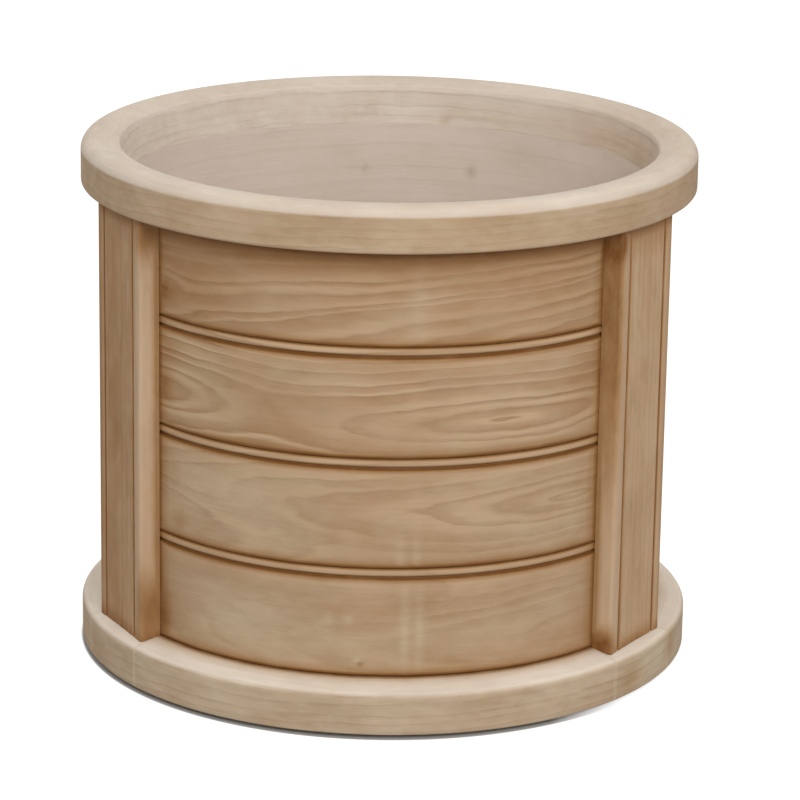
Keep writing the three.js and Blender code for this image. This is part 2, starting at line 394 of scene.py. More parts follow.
class Shading:
    """Adds linked nodes to one node tree."""

    def __init__(self, tree: bpy.types.NodeTree) -> None:
        """Keeps the tree that nodes are added to."""
        self.tree = tree

    def add(self, kind: str, inputs: dict | None = None, **settings: object) -> bpy.types.Node:
        """Adds a node.

        Args:
            kind: the node's type name.
            inputs: values or sockets for its inputs, by name or number.
            settings: properties set before the inputs.

        Returns:
            The node.
        """
        node = self.tree.nodes.new(kind)
        for name, value in settings.items():
            setattr(node, name, value)
        for key, value in (inputs or {}).items():
            self.feed(node.inputs[key], value)
        return node

    def feed(self, socket: bpy.types.NodeSocket, value: Source) -> None:
        """Links a socket to an input, or sets the input's value."""
        if isinstance(value, bpy.types.NodeSocket):
            self.tree.links.new(value, socket)
        else:
            socket.default_value = value

    def math(self, operation: str, first: Source, second: Source = 0.0, third: Source = 0.0,
             clamp: bool = False) -> bpy.types.NodeSocket:
        """Result of one Math node."""
        node = self.add("ShaderNodeMath", {0: first, 1: second, 2: third}, operation=operation,
                        use_clamp=clamp)
        return node.outputs[0]

    def scaled(self, vector: Source, scale: tuple[float, float, float]) -> bpy.types.NodeSocket:
        """Vector with each part multiplied by its own scale."""
        node = self.add("ShaderNodeVectorMath", {0: vector, 1: scale}, operation="MULTIPLY")
        return node.outputs["Vector"]

    def length(self, vector: Source) -> bpy.types.NodeSocket:
        """Length of a vector."""
        return self.add("ShaderNodeVectorMath", {0: vector}, operation="LENGTH").outputs["Value"]

    def noise(self, vector: Source, scale: tuple[float, float, float], detail: float = 2.0,
              roughness: float = 0.5) -> bpy.types.NodeSocket:
        """Value of a noise with its own scale on each axis, in cells for each metre."""
        inputs = {
            "Vector": self.scaled(vector, scale), "Scale": 1.0, "Detail": detail, "Roughness": roughness,
        }
        return self.add("ShaderNodeTexNoise", inputs).outputs["Fac"]

    def ramp(self, value: Source, stops: Stops) -> bpy.types.NodeSocket:
        """Value that runs through (place, value) stops."""
        node = self.add("ShaderNodeValToRGB", {"Fac": value})
        elements = node.color_ramp.elements
        elements[0].position, elements[1].position = stops[0][0], stops[-1][0]
        for place, _ in stops[1:-1]:
            elements.new(place)
        for element, (_, level) in zip(elements, stops):
            element.color = (level, level, level, 1.0)
        return self.add("ShaderNodeSeparateColor", {"Color": node.outputs["Color"]}).outputs["Red"]

    def shared(self, first: Source, second: Source, share: float) -> bpy.types.NodeSocket:
        """Sum of two values, of which the first has a share and the second has the rest."""
        rest = self.math("MULTIPLY", second, 1 - share)
        return self.math("ADD", self.math("MULTIPLY", first, share), rest)

    def mix(self, factor: Source, first: Source, second: Source,
            blend: str = "MIX") -> bpy.types.NodeSocket:
        """Mix of two colours."""
        node = self.add("ShaderNodeMix", data_type="RGBA", blend_type=blend)
        self.feed(node.inputs[0], factor)
        self.feed(node.inputs[6], first)
        self.feed(node.inputs[7], second)
        return node.outputs[2]

    def tinted(self, colour: Source, mask: Source, strength: float,
               tint: tuple[int, int, int]) -> bpy.types.NodeSocket:
        """Lays a tint over a colour, as strongly as a mask and a strength say.

        Args:
            colour: the colour underneath.
            mask: where the tint lies.
            strength: how strongly it shows there.
            tint: the tint, as it looks on a screen.

        Returns:
            The new colour.
        """
        factor = mask if strength == 1.0 else self.math("MULTIPLY", mask, strength)
        return self.mix(factor, colour, srgb(*tint))

    def attribute(self, name: str, output: str = "Vector") -> bpy.types.NodeSocket:
        """Attribute of the mesh."""
        return self.add("ShaderNodeAttribute", attribute_name=name).outputs[output]

    def group(self, tree: bpy.types.NodeTree, inputs: dict) -> bpy.types.Node:
        """Adds a node group with its inputs."""
        node = self.tree.nodes.new("ShaderNodeGroup")
        node.node_tree = tree
        for key, value in inputs.items():
            self.feed(node.inputs[key], value)
        return node


def empty_material(name: str) -> tuple[bpy.types.Material, Shading]:
    """Makes a material without nodes.

    Args:
        name: its name.

    Returns:
        The material and the shading of its tree.
    """
    material = bpy.data.materials.new(name)
    material.use_nodes = True
    material.node_tree.nodes.clear()
    return material, Shading(material.node_tree)


@dataclass(frozen=True)
class Effect:
    """Node group that several finishes share.

    Attributes:
        name: name of the group.
        inputs: names and kinds of its inputs.
        outputs: names and kinds of its outputs.
        build: fills the group; it gets the shading and the input sockets and returns the outputs.
    """

    name: str
    inputs: dict[str, str]
    outputs: dict[str, str]
    build: Callable[[Shading, dict], dict]

    def tree(self) -> bpy.types.NodeTree:
        """The group's node tree, made on first use.

        Returns:
            The node tree.
        """
        found = bpy.data.node_groups.get(self.name)
        if found:
            return found
        tree = bpy.data.node_groups.new(self.name, "ShaderNodeTree")
        for side, sockets in (("INPUT", self.inputs), ("OUTPUT", self.outputs)):
            for name, kind in sockets.items():
                tree.interface.new_socket(name=name, in_out=side, socket_type=f"NodeSocket{kind}")
        shading = Shading(tree)
        entry = shading.add("NodeGroupInput")
        exit_node = shading.add("NodeGroupOutput")
        results = self.build(shading, {name: entry.outputs[name] for name in self.inputs})
        for name, value in results.items():
            shading.feed(exit_node.inputs[name], value)
        return tree


@dataclass(frozen=True)
class Cells:
    """Cells of the noises for each metre: along the grain, across it, and into the wood."""

    ring_wave: tuple[float, float, float] = (7.0, 24.0, 24.0)
    ring_tremble: tuple[float, float, float] = (38.0, 150.0, 150.0)
    ring_patches: tuple[float, float, float] = (6.0, 22.0, 22.0)
    ring_gaps: float = 70.0
    coarse_fibres: tuple[float, float, float] = (16.0, 330.0, 330.0)
    fine_fibres: tuple[float, float, float] = (42.0, 1100.0, 1100.0)
    broad_wash: tuple[float, float, float] = (9.0, 20.0, 20.0)
    small_wash: tuple[float, float, float] = (42.0, 85.0, 85.0)
    tint: tuple[float, float, float] = (26.0, 48.0, 48.0)
    grime: tuple[float, float, float] = (13.0, 34.0, 34.0)
    wiping: tuple[float, float, float] = (34.0, 70.0, 70.0)
    grit: tuple[float, float, float] = (900.0, 900.0, 900.0)
    dust: tuple[float, float, float] = (60.0, 60.0, 60.0)


CELLS = Cells()
RING_TREMBLE = 0.0035
RING_MERGE = 0.012
RING_GAPS = 1.6
COARSE_SHARE = 0.6
BROAD_SHARE = 0.68
ZONE_BREAKUP = 0.25


def build_growth_rings(shading: Shading, given: dict) -> dict:
    """Fills the growth ring group: nested lines round two eyes, raised and pale with a thin dark side.

    Args:
        shading: the group's shading.
        given: the group's inputs.

    Returns:
        The group's outputs.
    """
    grain, wander = given["Grain"], given["Wander"]
    wave = shading.noise(grain, CELLS.ring_wave)
    jitter = shading.noise(grain, CELLS.ring_tremble)
    swing = shading.math("MULTIPLY", shading.math("SUBTRACT", wave, 0.5), wander)
    tremble = shading.math("MULTIPLY", shading.math("SUBTRACT", jitter, 0.5), RING_TREMBLE)
    drift = shading.math("ADD", swing, tremble)
    far = shading.math("SUBTRACT", shading.length(given["Eye B"]), given["Lead"])
    near = shading.math("SMOOTH_MIN", shading.length(given["Eye A"]), far, RING_MERGE)
    distance = shading.math("ADD", near, drift)
    uneven = shading.add(
        "ShaderNodeTexNoise",
        {"W": shading.math("MULTIPLY", distance, CELLS.ring_gaps), "Scale": 1.0, "Detail": 1.0},
        noise_dimensions="1D",
    ).outputs["Fac"]
    turns = shading.math("DIVIDE", distance, given["Spacing"])
    gaps = shading.math("MULTIPLY", uneven, RING_GAPS)
    phase = shading.math("FRACT", shading.math("ADD", turns, gaps))
    ridge = shading.ramp(
        phase, ((0.0, 0.0), (0.14, 0.0), (0.29, 1.0), (0.45, 0.9), (0.65, 0.2), (1.0, 0.0)))
    line = shading.ramp(
        phase, ((0.0, 0.55), (0.1, 1.0), (0.22, 0.2), (0.3, 0.0), (0.7, 0.0), (1.0, 0.55)))
    relief = shading.ramp(
        phase, ((0.0, 0.2), (0.1, 0.0), (0.3, 1.0), (0.45, 0.9), (0.75, 0.4), (1.0, 0.2)))
    patches = shading.noise(grain, CELLS.ring_patches)
    shown = shading.ramp(patches, ((0.0, 0.25), (0.38, 0.35), (0.58, 1.0), (1.0, 1.0)))
    return {
        "Ridge": shading.math("MULTIPLY", ridge, shown),
        "Line": shading.math("MULTIPLY", line, shown),
        "Relief": shading.math("MULTIPLY", shading.math("SUBTRACT", relief, 0.4), shown),
    }


def build_fibres(shading: Shading, given: dict) -> dict:
    """Fills the fibre group: fine streaks along the grain.

    Args:
        shading: the group's shading.
        given: the group's inputs.

    Returns:
        The group's outputs.
    """
    coarse = shading.noise(given["Grain"], CELLS.coarse_fibres, detail=3.0, roughness=0.6)
    fine = shading.noise(given["Grain"], CELLS.fine_fibres, roughness=0.6)
    both = shading.shared(coarse, fine, COARSE_SHARE)
    return {"Streak": shading.ramp(both, ((0.0, 0.0), (0.32, 0.0), (0.68, 1.0), (1.0, 1.0)))}


def build_limewash(shading: Shading, given: dict) -> dict:
    """Fills the limewash group: cloudy patches of pale wash, a tint that drifts, and grime.

    Args:
        shading: the group's shading.
        given: the group's inputs.

    Returns:
        The group's outputs.
    """
    grain = given["Grain"]
    broad = shading.noise(grain, CELLS.broad_wash, detail=3.0, roughness=0.55)
    small = shading.noise(grain, CELLS.small_wash, detail=3.0, roughness=0.6)
    cloud = shading.shared(broad, small, BROAD_SHARE)
    tint = shading.noise(shading.scaled(grain, (1.0, -1.0, 1.0)), CELLS.tint)
    turned = shading.scaled(grain, (-1.0, 1.0, 1.0))
    grime = shading.noise(turned, CELLS.grime, detail=4.0, roughness=0.65)
    return {
        "Wash": shading.ramp(cloud, ((0.0, 0.0), (0.36, 0.0), (0.64, 1.0), (1.0, 1.0))),
        "Tint": shading.ramp(tint, ((0.0, 0.0), (0.35, 0.0), (0.65, 1.0), (1.0, 1.0))),
        "Grime": shading.ramp(grime, ((0.0, 0.0), (0.5, 0.0), (0.72, 1.0), (1.0, 1.0))),
    }


def build_settled_stain_and_shade(shading: Shading, given: dict) -> dict:
    """Fills the stain and shade group: brown stain wiped off the flats and left in quirks and corners,
    and painted shade under the rim, at the posts' feet and inside the rim's right side, broken up
    unevenly.

    Args:
        shading: the group's shading.
        given: the group's inputs.

    Returns:
        The group's outputs.
    """
    wiped = shading.noise(given["Grain"], CELLS.wiping, detail=3.0, roughness=0.6)
    uneven = shading.math("MULTIPLY_ADD", wiped, 0.7, 0.65)
    hollow_and_shade = shading.math("MULTIPLY", given["Hollow And Shade"], uneven)
    patch = shading.math("MULTIPLY", given["Spot"], shading.math("MULTIPLY_ADD", wiped, 1.1, 0.4))
    return {"Stain": shading.math("MAXIMUM", hollow_and_shade, patch, clamp=True)}


GROWTH_RINGS = Effect(
    "growth_rings",
    {"Grain": "Vector", "Eye A": "Vector", "Eye B": "Vector", "Lead": "Float", "Spacing": "Float",
     "Wander": "Float"},
    {"Ridge": "Float", "Line": "Float", "Relief": "Float"}, build_growth_rings,
)
FIBRES = Effect("fibres", {"Grain": "Vector"}, {"Streak": "Float"}, build_fibres)
LIMEWASH = Effect(
    "limewash", {"Grain": "Vector"}, {"Wash": "Float", "Tint": "Float", "Grime": "Float"},
    build_limewash,
)
# Group for the settled stain and for the painted shade that shares its masks.
SETTLED_STAIN_AND_SHADE = Effect(
    "settled_stain_and_shade", {"Grain": "Vector", "Hollow And Shade": "Float", "Spot": "Float"}, {"Stain": "Float"},
    build_settled_stain_and_shade,
)


# ---- Finishes -----------------------------------------------------------------------------------


@dataclass(frozen=True)
class Profile:
    """Mask that follows the three parts of the stain place, as stops for each part."""

    first: Stops = ()
    second: Stops = ()
    third: Stops = ()

    def mask(self, shading: Shading, place: bpy.types.NodeSocket) -> Source:
        """Strongest of the three ramps at a place.

        Args:
            shading: the material's shading.
            place: the stain place.

        Returns:
            The mask, or 0 where the profile is empty.
        """
        parts = shading.add("ShaderNodeSeparateXYZ", {"Vector": place})
        masks = [
            shading.ramp(parts.outputs[axis], stops)
            for axis, stops in zip("XYZ", (self.first, self.second, self.third)) if stops
        ]
        strongest: Source = 0.0
        for mask in masks:
            strongest = mask if strongest == 0.0 else shading.math("MAXIMUM", strongest, mask)
        return strongest


@dataclass(frozen=True)
class Zone:
    """Part of a piece where another colour lies over the wood; the paler tops of the rim and the plinth
    are partly a pale wash and partly painted top light.

    Attributes:
        profile: where it lies.
        colour: its colour.
        cover: how much of the wood it covers, up to 1.
    """

    profile: Profile
    colour: tuple[int, int, int]
    cover: float = 0.85


@dataclass(frozen=True)
class Patterns:
    """Masks that a wood finish is mixed from.

    Attributes:
        place: place for the stain, the painted shade and the zones.
        ridge: ridges of the growth rings.
        line: thin lines beside the ridges.
        relief: relief of the rings.
        streak: fibres.
        wash: clouds of pale wash.
        tint: drift of the tint.
        grime: patches of grime.
        daub: patches of thick wash that the piece asks for.
        stain: settled stain, together with painted shade under the rim, at the posts' feet and inside
            the rim's right side.
    """

    place: bpy.types.NodeSocket
    ridge: bpy.types.NodeSocket
    line: bpy.types.NodeSocket
    relief: bpy.types.NodeSocket
    streak: bpy.types.NodeSocket
    wash: bpy.types.NodeSocket
    tint: bpy.types.NodeSocket
    grime: bpy.types.NodeSocket
    daub: bpy.types.NodeSocket
    stain: bpy.types.NodeSocket


@dataclass(frozen=True)
class LimedWood:
    """Limed wood with a settled stain.

    Attributes:
        name: name of the material.
        warm: colour of the bare wood.
        pale: colour where the wash is thick.
        rosy: colour that the tint drifts to.
        lime: colour of the thickest wash, where a piece asks for a patch of it.
        ridge: colour of the rings' ridges.
        line: colour of the thin lines beside the ridges, and of grime.
        stain: colour of the settled stain, which also colours the painted shade that shares its mask.
        amber: colour with which thin stain, and faint painted shade, glaze the wood.
        glaze: how many times stronger that glaze is than the stain's own colour.
        spacing: distance between growth rings.
        wander: how far the rings wander.
        ring_strength: how strongly the ridges show.
        line_strength: how strongly the lines beside them show.
        fibre_strength: how strongly the fibres show.
        tint_strength: how far the tint drifts.
        grime_strength: how strongly the grime shows.
        relief: height of the rings' relief.
        fibre_relief: height of the fibres' relief.
        roughness: roughness of the flats.
        gloss_swing: how much the roughness varies with the fibres.
        stain_gloss: how much smoother the stain and the painted shade are than the flats.
        stain_and_shade_profile: where the stain settles, and where shade is painted under the rim.
        zones: where other colours lie over the wood, the paler tops partly as painted top light.
    """

    name: str
    warm: tuple[int, int, int]
    pale: tuple[int, int, int]
    rosy: tuple[int, int, int]
    lime: tuple[int, int, int] = (206, 190, 164)
    ridge: tuple[int, int, int] = (206, 180, 148)
    line: tuple[int, int, int] = (140, 108, 72)
    stain: tuple[int, int, int] = (124, 80, 36)
    amber: tuple[int, int, int] = (250, 233, 204)
    glaze: float = 2.0
    spacing: float = 0.008
    wander: float = 0.012
    ring_strength: float = 0.5
    line_strength: float = 0.3
    fibre_strength: float = 0.10
    tint_strength: float = 0.5
    grime_strength: float = 0.2
    relief: float = 0.0006
    fibre_relief: float = 0.00012
    roughness: float = 0.62
    gloss_swing: float = 0.14
    stain_gloss: float = 0.1
    stain_and_shade_profile: Profile = field(default_factory=Profile)
    zones: tuple[Zone, ...] = ()

    def patterns(self, shading: Shading) -> Patterns:
        """Adds the shared effects and the patches that a piece asks for.

        Args:
            shading: the material's shading.

        Returns:
            Their masks.
        """
        grain = shading.attribute("grain")
        place = shading.attribute("stain_place")
        rings = shading.group(GROWTH_RINGS.tree(), {
            "Grain": grain, "Eye A": shading.attribute("eye_a"), "Eye B": shading.attribute("eye_b"),
            "Lead": shading.attribute("lead", "Fac"), "Spacing": self.spacing, "Wander": self.wander,
        }).outputs
        shown = shading.attribute("rings", "Fac")
        wash = shading.group(LIMEWASH.tree(), {"Grain": grain}).outputs
        patchy = shading.math("MULTIPLY_ADD", wash["Wash"], 0.5, 0.5)
        # Settled stain, with the painted shade that shares its masks.
        stain = shading.group(SETTLED_STAIN_AND_SHADE.tree(), {
            "Grain": grain, "Hollow And Shade": self.stain_and_shade_profile.mask(shading, place),
            "Spot": shading.attribute("spot", "Fac"),
        })
        return Patterns(
            place=place,
            ridge=shading.math("MULTIPLY", rings["Ridge"], shown),
            line=shading.math("MULTIPLY", rings["Line"], shown),
            relief=shading.math("MULTIPLY", rings["Relief"], shown),
            streak=shading.group(FIBRES.tree(), {"Grain": grain}).outputs["Streak"],
            wash=wash["Wash"],
            tint=wash["Tint"],
            grime=wash["Grime"],
            daub=shading.math("MULTIPLY", shading.attribute("wash", "Fac"), patchy),
            stain=stain.outputs["Stain"],
        )

    def colour(self, shading: Shading, masks: Patterns) -> bpy.types.NodeSocket:
        """Mixes the colour, from the bare wood out to the settled stain.

        Args:
            shading: the material's shading.
            masks: the finish's masks.

        Returns:
            The colour.
        """
        colour = shading.mix(masks.wash, srgb(*self.warm), srgb(*self.pale))
        colour = shading.tinted(colour, masks.tint, self.tint_strength, self.rosy)
        colour = shading.tinted(colour, masks.daub, 1.0, self.lime)
        colour = shading.tinted(colour, masks.grime, self.grime_strength, self.line)
        # Zones, broken up by the wash; the pale tops among them are partly painted top light.
        for zone in self.zones:
            broken_cover = shading.math(
                "MULTIPLY_ADD", masks.wash, ZONE_BREAKUP * zone.cover, (1 - ZONE_BREAKUP) * zone.cover)
            covered = shading.math("MULTIPLY", zone.profile.mask(shading, masks.place), broken_cover)
            colour = shading.tinted(colour, covered, 1.0, zone.colour)
        colour = shading.tinted(colour, masks.ridge, self.ring_strength, self.ridge)
        colour = shading.tinted(colour, masks.line, self.line_strength, self.line)
        grey = shading.math(
            "MULTIPLY_ADD", masks.streak, self.fibre_strength, 1.0 - self.fibre_strength / 2)
        tone = shading.add("ShaderNodeCombineColor", {"Red": grey, "Green": grey, "Blue": grey})
        colour = shading.mix(1.0, colour, tone.outputs["Color"], "MULTIPLY")
        # The stain mask also carries painted shade, so that shade is glazed and darkened like the stain.
        glaze = shading.math("MULTIPLY", masks.stain, self.glaze, clamp=True)
        colour = shading.mix(glaze, colour, srgb(*self.amber), "MULTIPLY")
        return shading.tinted(colour, masks.stain, 1.0, self.stain)

    @cache
    def material(self) -> bpy.types.Material:
        """The finish as a material, made on first use.

        Returns:
            The material.
        """
        material, shading = empty_material(self.name)
        masks = self.patterns(shading)
        gloss = shading.math(
            "MULTIPLY_ADD", masks.streak, self.gloss_swing, self.roughness - self.gloss_swing / 2)
        gloss = shading.math("MULTIPLY_ADD", masks.stain, -self.stain_gloss, gloss, clamp=True)
        height = shading.math(
            "ADD", shading.math("MULTIPLY", masks.relief, self.relief),
            shading.math("MULTIPLY", masks.streak, self.fibre_relief),
        )
        bump = shading.add("ShaderNodeBump", {"Height": height, "Distance": 1.0, "Strength": 0.8})
        surface = shading.add("ShaderNodeBsdfPrincipled", {
            "Base Color": self.colour(shading, masks), "Roughness": gloss,
            "Normal": bump.outputs["Normal"], "Specular IOR Level": 0.25,
        })
        shading.add("ShaderNodeOutputMaterial", {"Surface": surface.outputs["BSDF"]})
        return material


@dataclass(frozen=True)
class Rubber:
    """Dull black rubber with a fine grit."""

    name: str = "black_rubber"
    colour: tuple[int, int, int] = (44, 42, 40)
    dust: tuple[int, int, int] = (92, 86, 78)

    @cache
    def material(self) -> bpy.types.Material:
        """The finish as a material, made on first use.

        Returns:
            The material.
        """
        material, shading = empty_material(self.name)
        place = shading.add("ShaderNodeTexCoord").outputs["Object"]
        grit = shading.noise(place, CELLS.grit)
        cloud = shading.noise(place, CELLS.dust, detail=3.0)
        colour = shading.mix(shading.ramp(cloud, ((0.0, 0.0), (0.45, 0.05), (1.0, 0.7))),
                             srgb(*self.colour), srgb(*self.dust))
        bump = shading.add("ShaderNodeBump", {"Height": grit, "Distance": 0.0003, "Strength": 0.5})
        surface = shading.add("ShaderNodeBsdfPrincipled", {
            "Base Color": colour, "Roughness": shading.math("MULTIPLY_ADD", grit, 0.2, 0.7),
            "Normal": bump.outputs["Normal"],
        })
        shading.add("ShaderNodeOutputMaterial", {"Surface": surface.outputs["BSDF"]})
        return material


INSIDE_PALE = (224, 213, 201)

BOARD_FINISH = LimedWood(
    name="limed_boards", warm=(168, 134, 98), pale=(182, 157, 126), rosy=(180, 145, 116),
    ridge=(202, 175, 143), line=(140, 106, 70), spacing=0.0095, ring_strength=0.6, line_strength=0.2,
    relief=0.00045,
    stain_and_shade_profile=Profile(
        first=((0.0, 0.85), (0.05, 0.7), (0.14, 0.3), (0.4, 0.08), (1.0, 0.0)),
        second=((0.0, 1.0), (0.02, 0.95), (0.042, 0.28), (0.09, 0.06), (0.15, 0.0), (0.85, 0.0),
                (0.885, 0.35), (0.9, 1.0), (0.917, 1.0), (0.93, 0.3), (0.945, 0.0), (0.975, 0.05),
                (1.0, 1.0)),
        # third: darker just under the rim, partly stain that settled there and partly painted shade
        # under the rim's overhang.
        third=((0.0, 1.0), (0.12, 1.0), (0.18, 0.85), (0.24, 0.6), (0.34, 0.4), (0.5, 0.22), (0.7, 0.1),
               (1.0, 0.02)),
    ),
    zones=(
        Zone(Profile(second=((0.0, 0.0), (0.76, 0.0), (0.86, 0.8), (0.885, 0.3), (0.93, 0.0),
                             (0.95, 0.9), (0.98, 0.6), (1.0, 0.0))), (196, 164, 132), 0.7),
    ),
)
POST_FINISH = LimedWood(
    name="limed_posts", warm=(180, 145, 108), pale=(200, 174, 143), rosy=(199, 162, 132),
    spacing=0.010, ring_strength=0.22, line_strength=0.2, relief=0.0003, grime_strength=0.32,
    stain_and_shade_profile=Profile(
        first=((0.0, 0.0), (0.58, 0.0), (0.64, 0.3), (0.66, 0.8), (0.70, 1.0), (0.715, 0.5),
               (0.74, 0.0)),
        second=((0.0, 0.5), (0.1, 0.3), (0.35, 0.1), (0.7, 0.0), (1.0, 0.0)),
        # third: darker just under the rim, partly stain that settled there and partly painted shade
        # under the rim's overhang.
        third=((0.0, 0.95), (0.08, 0.75), (0.3, 0.3), (1.0, 0.0)),
    ),
    zones=(
        Zone(Profile(first=((0.0, 0.0), (0.74, 0.0), (0.78, 0.7), (0.9, 1.0), (0.97, 1.0), (1.0, 0.7))),
             (204, 177, 149)),
    ),
)
RIM_FINISH = LimedWood(
    name="limed_rim", warm=(170, 141, 107), pale=(193, 171, 143), rosy=(188, 158, 131),
    ridge=(202, 182, 154), spacing=0.009, ring_strength=0.16, line_strength=0.08, relief=0.0003,
    grime_strength=0.3,
    zones=(
        # Paler top: partly a pale wash wiped onto the top, partly painted top light.
        Zone(Profile(second=((0.0, 0.0), (0.66, 0.0), (0.70, 0.9), (0.74, 1.0), (1.0, 1.0))),
             (222, 210, 197)),
        Zone(Profile(first=((0.0, 0.0), (0.735, 0.0), (0.75, 1.0), (1.0, 1.0))), INSIDE_PALE, 0.95),
    ),
)
PLINTH_FINISH = LimedWood(
    name="limed_plinth", warm=(175, 148, 117), pale=(202, 184, 159), rosy=(196, 170, 143),
    ridge=(208, 191, 165), spacing=0.009, ring_strength=0.22, line_strength=0.15, relief=0.0003,
    grime_strength=0.3,
    stain_and_shade_profile=Profile(
        first=((0.0, 0.85), (0.06, 0.6), (0.14, 0.25), (0.3, 0.1), (0.5, 0.02), (1.0, 0.0)),
    ),
    zones=(
        # Paler top of the plinth: partly a pale wash, partly painted top light.
        Zone(Profile(second=((0.0, 0.0), (0.82, 0.0), (0.9, 0.9), (0.95, 1.0), (1.0, 1.0))),
             (241, 231, 219), 0.95),
        Zone(Profile(third=((0.0, 0.8), (0.15, 0.5), (0.3, 0.0), (1.0, 0.0))), (218, 202, 176), 0.7),
    ),
)
LINING_FINISH = LimedWood(
    name="limed_lining", warm=(217, 203, 190), pale=(225, 213, 202), rosy=(222, 208, 197),
    ridge=(226, 213, 201), stain=(146, 126, 98), amber=(248, 242, 230), spacing=0.02,
    ring_strength=0.08, line_strength=0.05, fibre_strength=0.03, grime_strength=0.06, relief=0.0001,
)
FLOOR_FINISH = LimedWood(
    name="bare_floor", warm=(166, 132, 90), pale=(182, 154, 116), rosy=(176, 138, 100),
    spacing=0.007, ring_strength=0.4, fibre_strength=0.18,
)
JOINERY_FINISH = LimedWood(
    name="bare_joinery", warm=(176, 140, 96), pale=(190, 160, 118), rosy=(182, 142, 102),
    spacing=0.004, ring_strength=0.3, fibre_strength=0.16,
)
RUBBER = Rubber()


# ---- Sub-assemblies -----------------------------------------------------------------------------


def place_piece(name: str, bm: bmesh.types.BMesh, azimuth: float, finish: LimedWood | Rubber,
                lie: Callable[[Vector], Lie], figure: Figure,
                smooth_degrees: float = 32.0) -> bpy.types.Object:
    """Turns a shape made about azimuth 0 into a finished piece that replaces the CAD node of its name.

    Args:
        name: name of the CAD node; the piece is called the same with "_finished" after it.
        bm: the shape, freed here.
        azimuth: degrees that the piece is turned by.
        finish: its finish.
        lie: gives how the grain lies at a point, about azimuth 0.
        figure: its rings and patches.
        smooth_degrees: edges sharper than this stay sharp.

    Returns:
        The piece.
    """
    mesh = bpy.data.meshes.new(f"{name}_finished")
    bm.to_mesh(mesh)
    bm.free()
    write_places(mesh, lie, figure)
    mesh.transform(Matrix.Rotation(math.radians(azimuth), 4, "Z"))
    mesh.shade_smooth()
    mesh.set_sharp_from_angle(angle=math.radians(smooth_degrees))
    mesh.materials.append(finish.material())
    piece = bpy.data.objects.new(mesh.name, mesh)
    bpy.context.scene.collection.objects.link(piece)
    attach(piece, BODY)
    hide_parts(name)
    log.info("%s: %d faces", piece.name, len(mesh.polygons))
    return piece


@dataclass
class RimRing:
    """Heavy rim with a flared opening, in three segments that meet over the posts.

    Attributes:
        outer_round: rounding of the outer top edge.
        crest: how far the crest lies inside the outer face.
        crest_round: rounding of the crest.
        lip_round: rounding of the lip.
        flare: how much wider the lip is than the bore.
        fall: how far the lip lies below the crest.
        lower_round: rounding of the lower edge.
        arris: rounding of the housing's edge.
        loops: level loops in the section.
        span: length that stands for 1 in the place of the zones.
        stains: patches on the right segment: a broad one, low down, is painted shade on the inner wall
            that turns away from the key lamp, and a small one is a stain.
    """

    outer_round: float = 0.012
    crest: float = 0.019
    crest_round: float = 0.006
    lip_round: float = 0.0016
    flare: float = 0.0055
    fall: float = 0.0047
    lower_round: float = 0.003
    arris: float = 0.0008
    loops: int = 7
    span: float = 0.05
    # Painted shade: the broad first patch darkens the inside of the right segment, which turns away from
    # the key lamp; the small second patch is a stain.
    stains: tuple[Spot, ...] = (
        Spot(0.580, 0.012, 0.170, 0.028, 0.22), Spot(0.886, 0.0045, 0.006, 0.004, 0.2),
    )

    def section(self) -> list[Corner]:
        """Corners of the rim's section, with the housing for the boards."""
        under, top, roof = LEVELS.rim_underside, LEVELS.rim_top, LEVELS.housing_roof
        slot = WALL.board_face + LEVELS.clearance
        return [
            Corner(WALL.bore, under),
            Corner(WALL.lining_outer, under),
            Corner(WALL.lining_outer, roof),
            Corner(slot, roof),
            Corner(slot, under, self.arris, 2),
            Corner(WALL.rim_outer, under, self.lower_round, 4),
            Corner(WALL.rim_outer, top, self.outer_round, 10),
            Corner(WALL.rim_outer - self.crest, top, self.crest_round, 4),
            Corner(WALL.bore + self.flare, top - self.fall, self.lip_round, 4),
        ]

    def lie(self, bay: Bay) -> Callable[[Vector], Lie]:
        """How the grain lies on the rim over a bay.

        Args:
            bay: the bay.

        Returns:
            A function of a point about azimuth 0.
        """

        def at(point: Vector) -> Lie:
            """Grain that runs round the rim.

            Over the left bay it runs back at twice the pace, so that it meets its start at the back.
            """
            azimuth = azimuth_of(point) + turn_of(bay)
            if bay is Bay.LEFT:
                start = -math.radians(BAY_HALF)
                azimuth = start - 2 * (azimuth - start)
            inward = WALL.rim_outer - math.hypot(point.x, point.y)
            height = point.z - LEVELS.rim_underside
            return Lie(azimuth * WALL.rim_outer, height, inward,
                       (inward / self.span, height / self.span, 0.0))

        return at

    def build(self) -> None:
        """Makes and dresses the three segments."""
        stained_and_shaded = replace(RING_FIGURE, spots=self.stains)
        loops = spread(LEVELS.rim_underside, LEVELS.rim_top, self.loops)
        for bay in Bay:
            bm = sweep(self.section(), BAY_HALF - RIM_HAIRLINE, loops)
            place_piece(f"{bay.name.lower()}_rim_segment", bm, bay.value, RIM_FINISH,
                        self.lie(bay), stained_and_shaded if bay is Bay.RIGHT else RING_FIGURE)


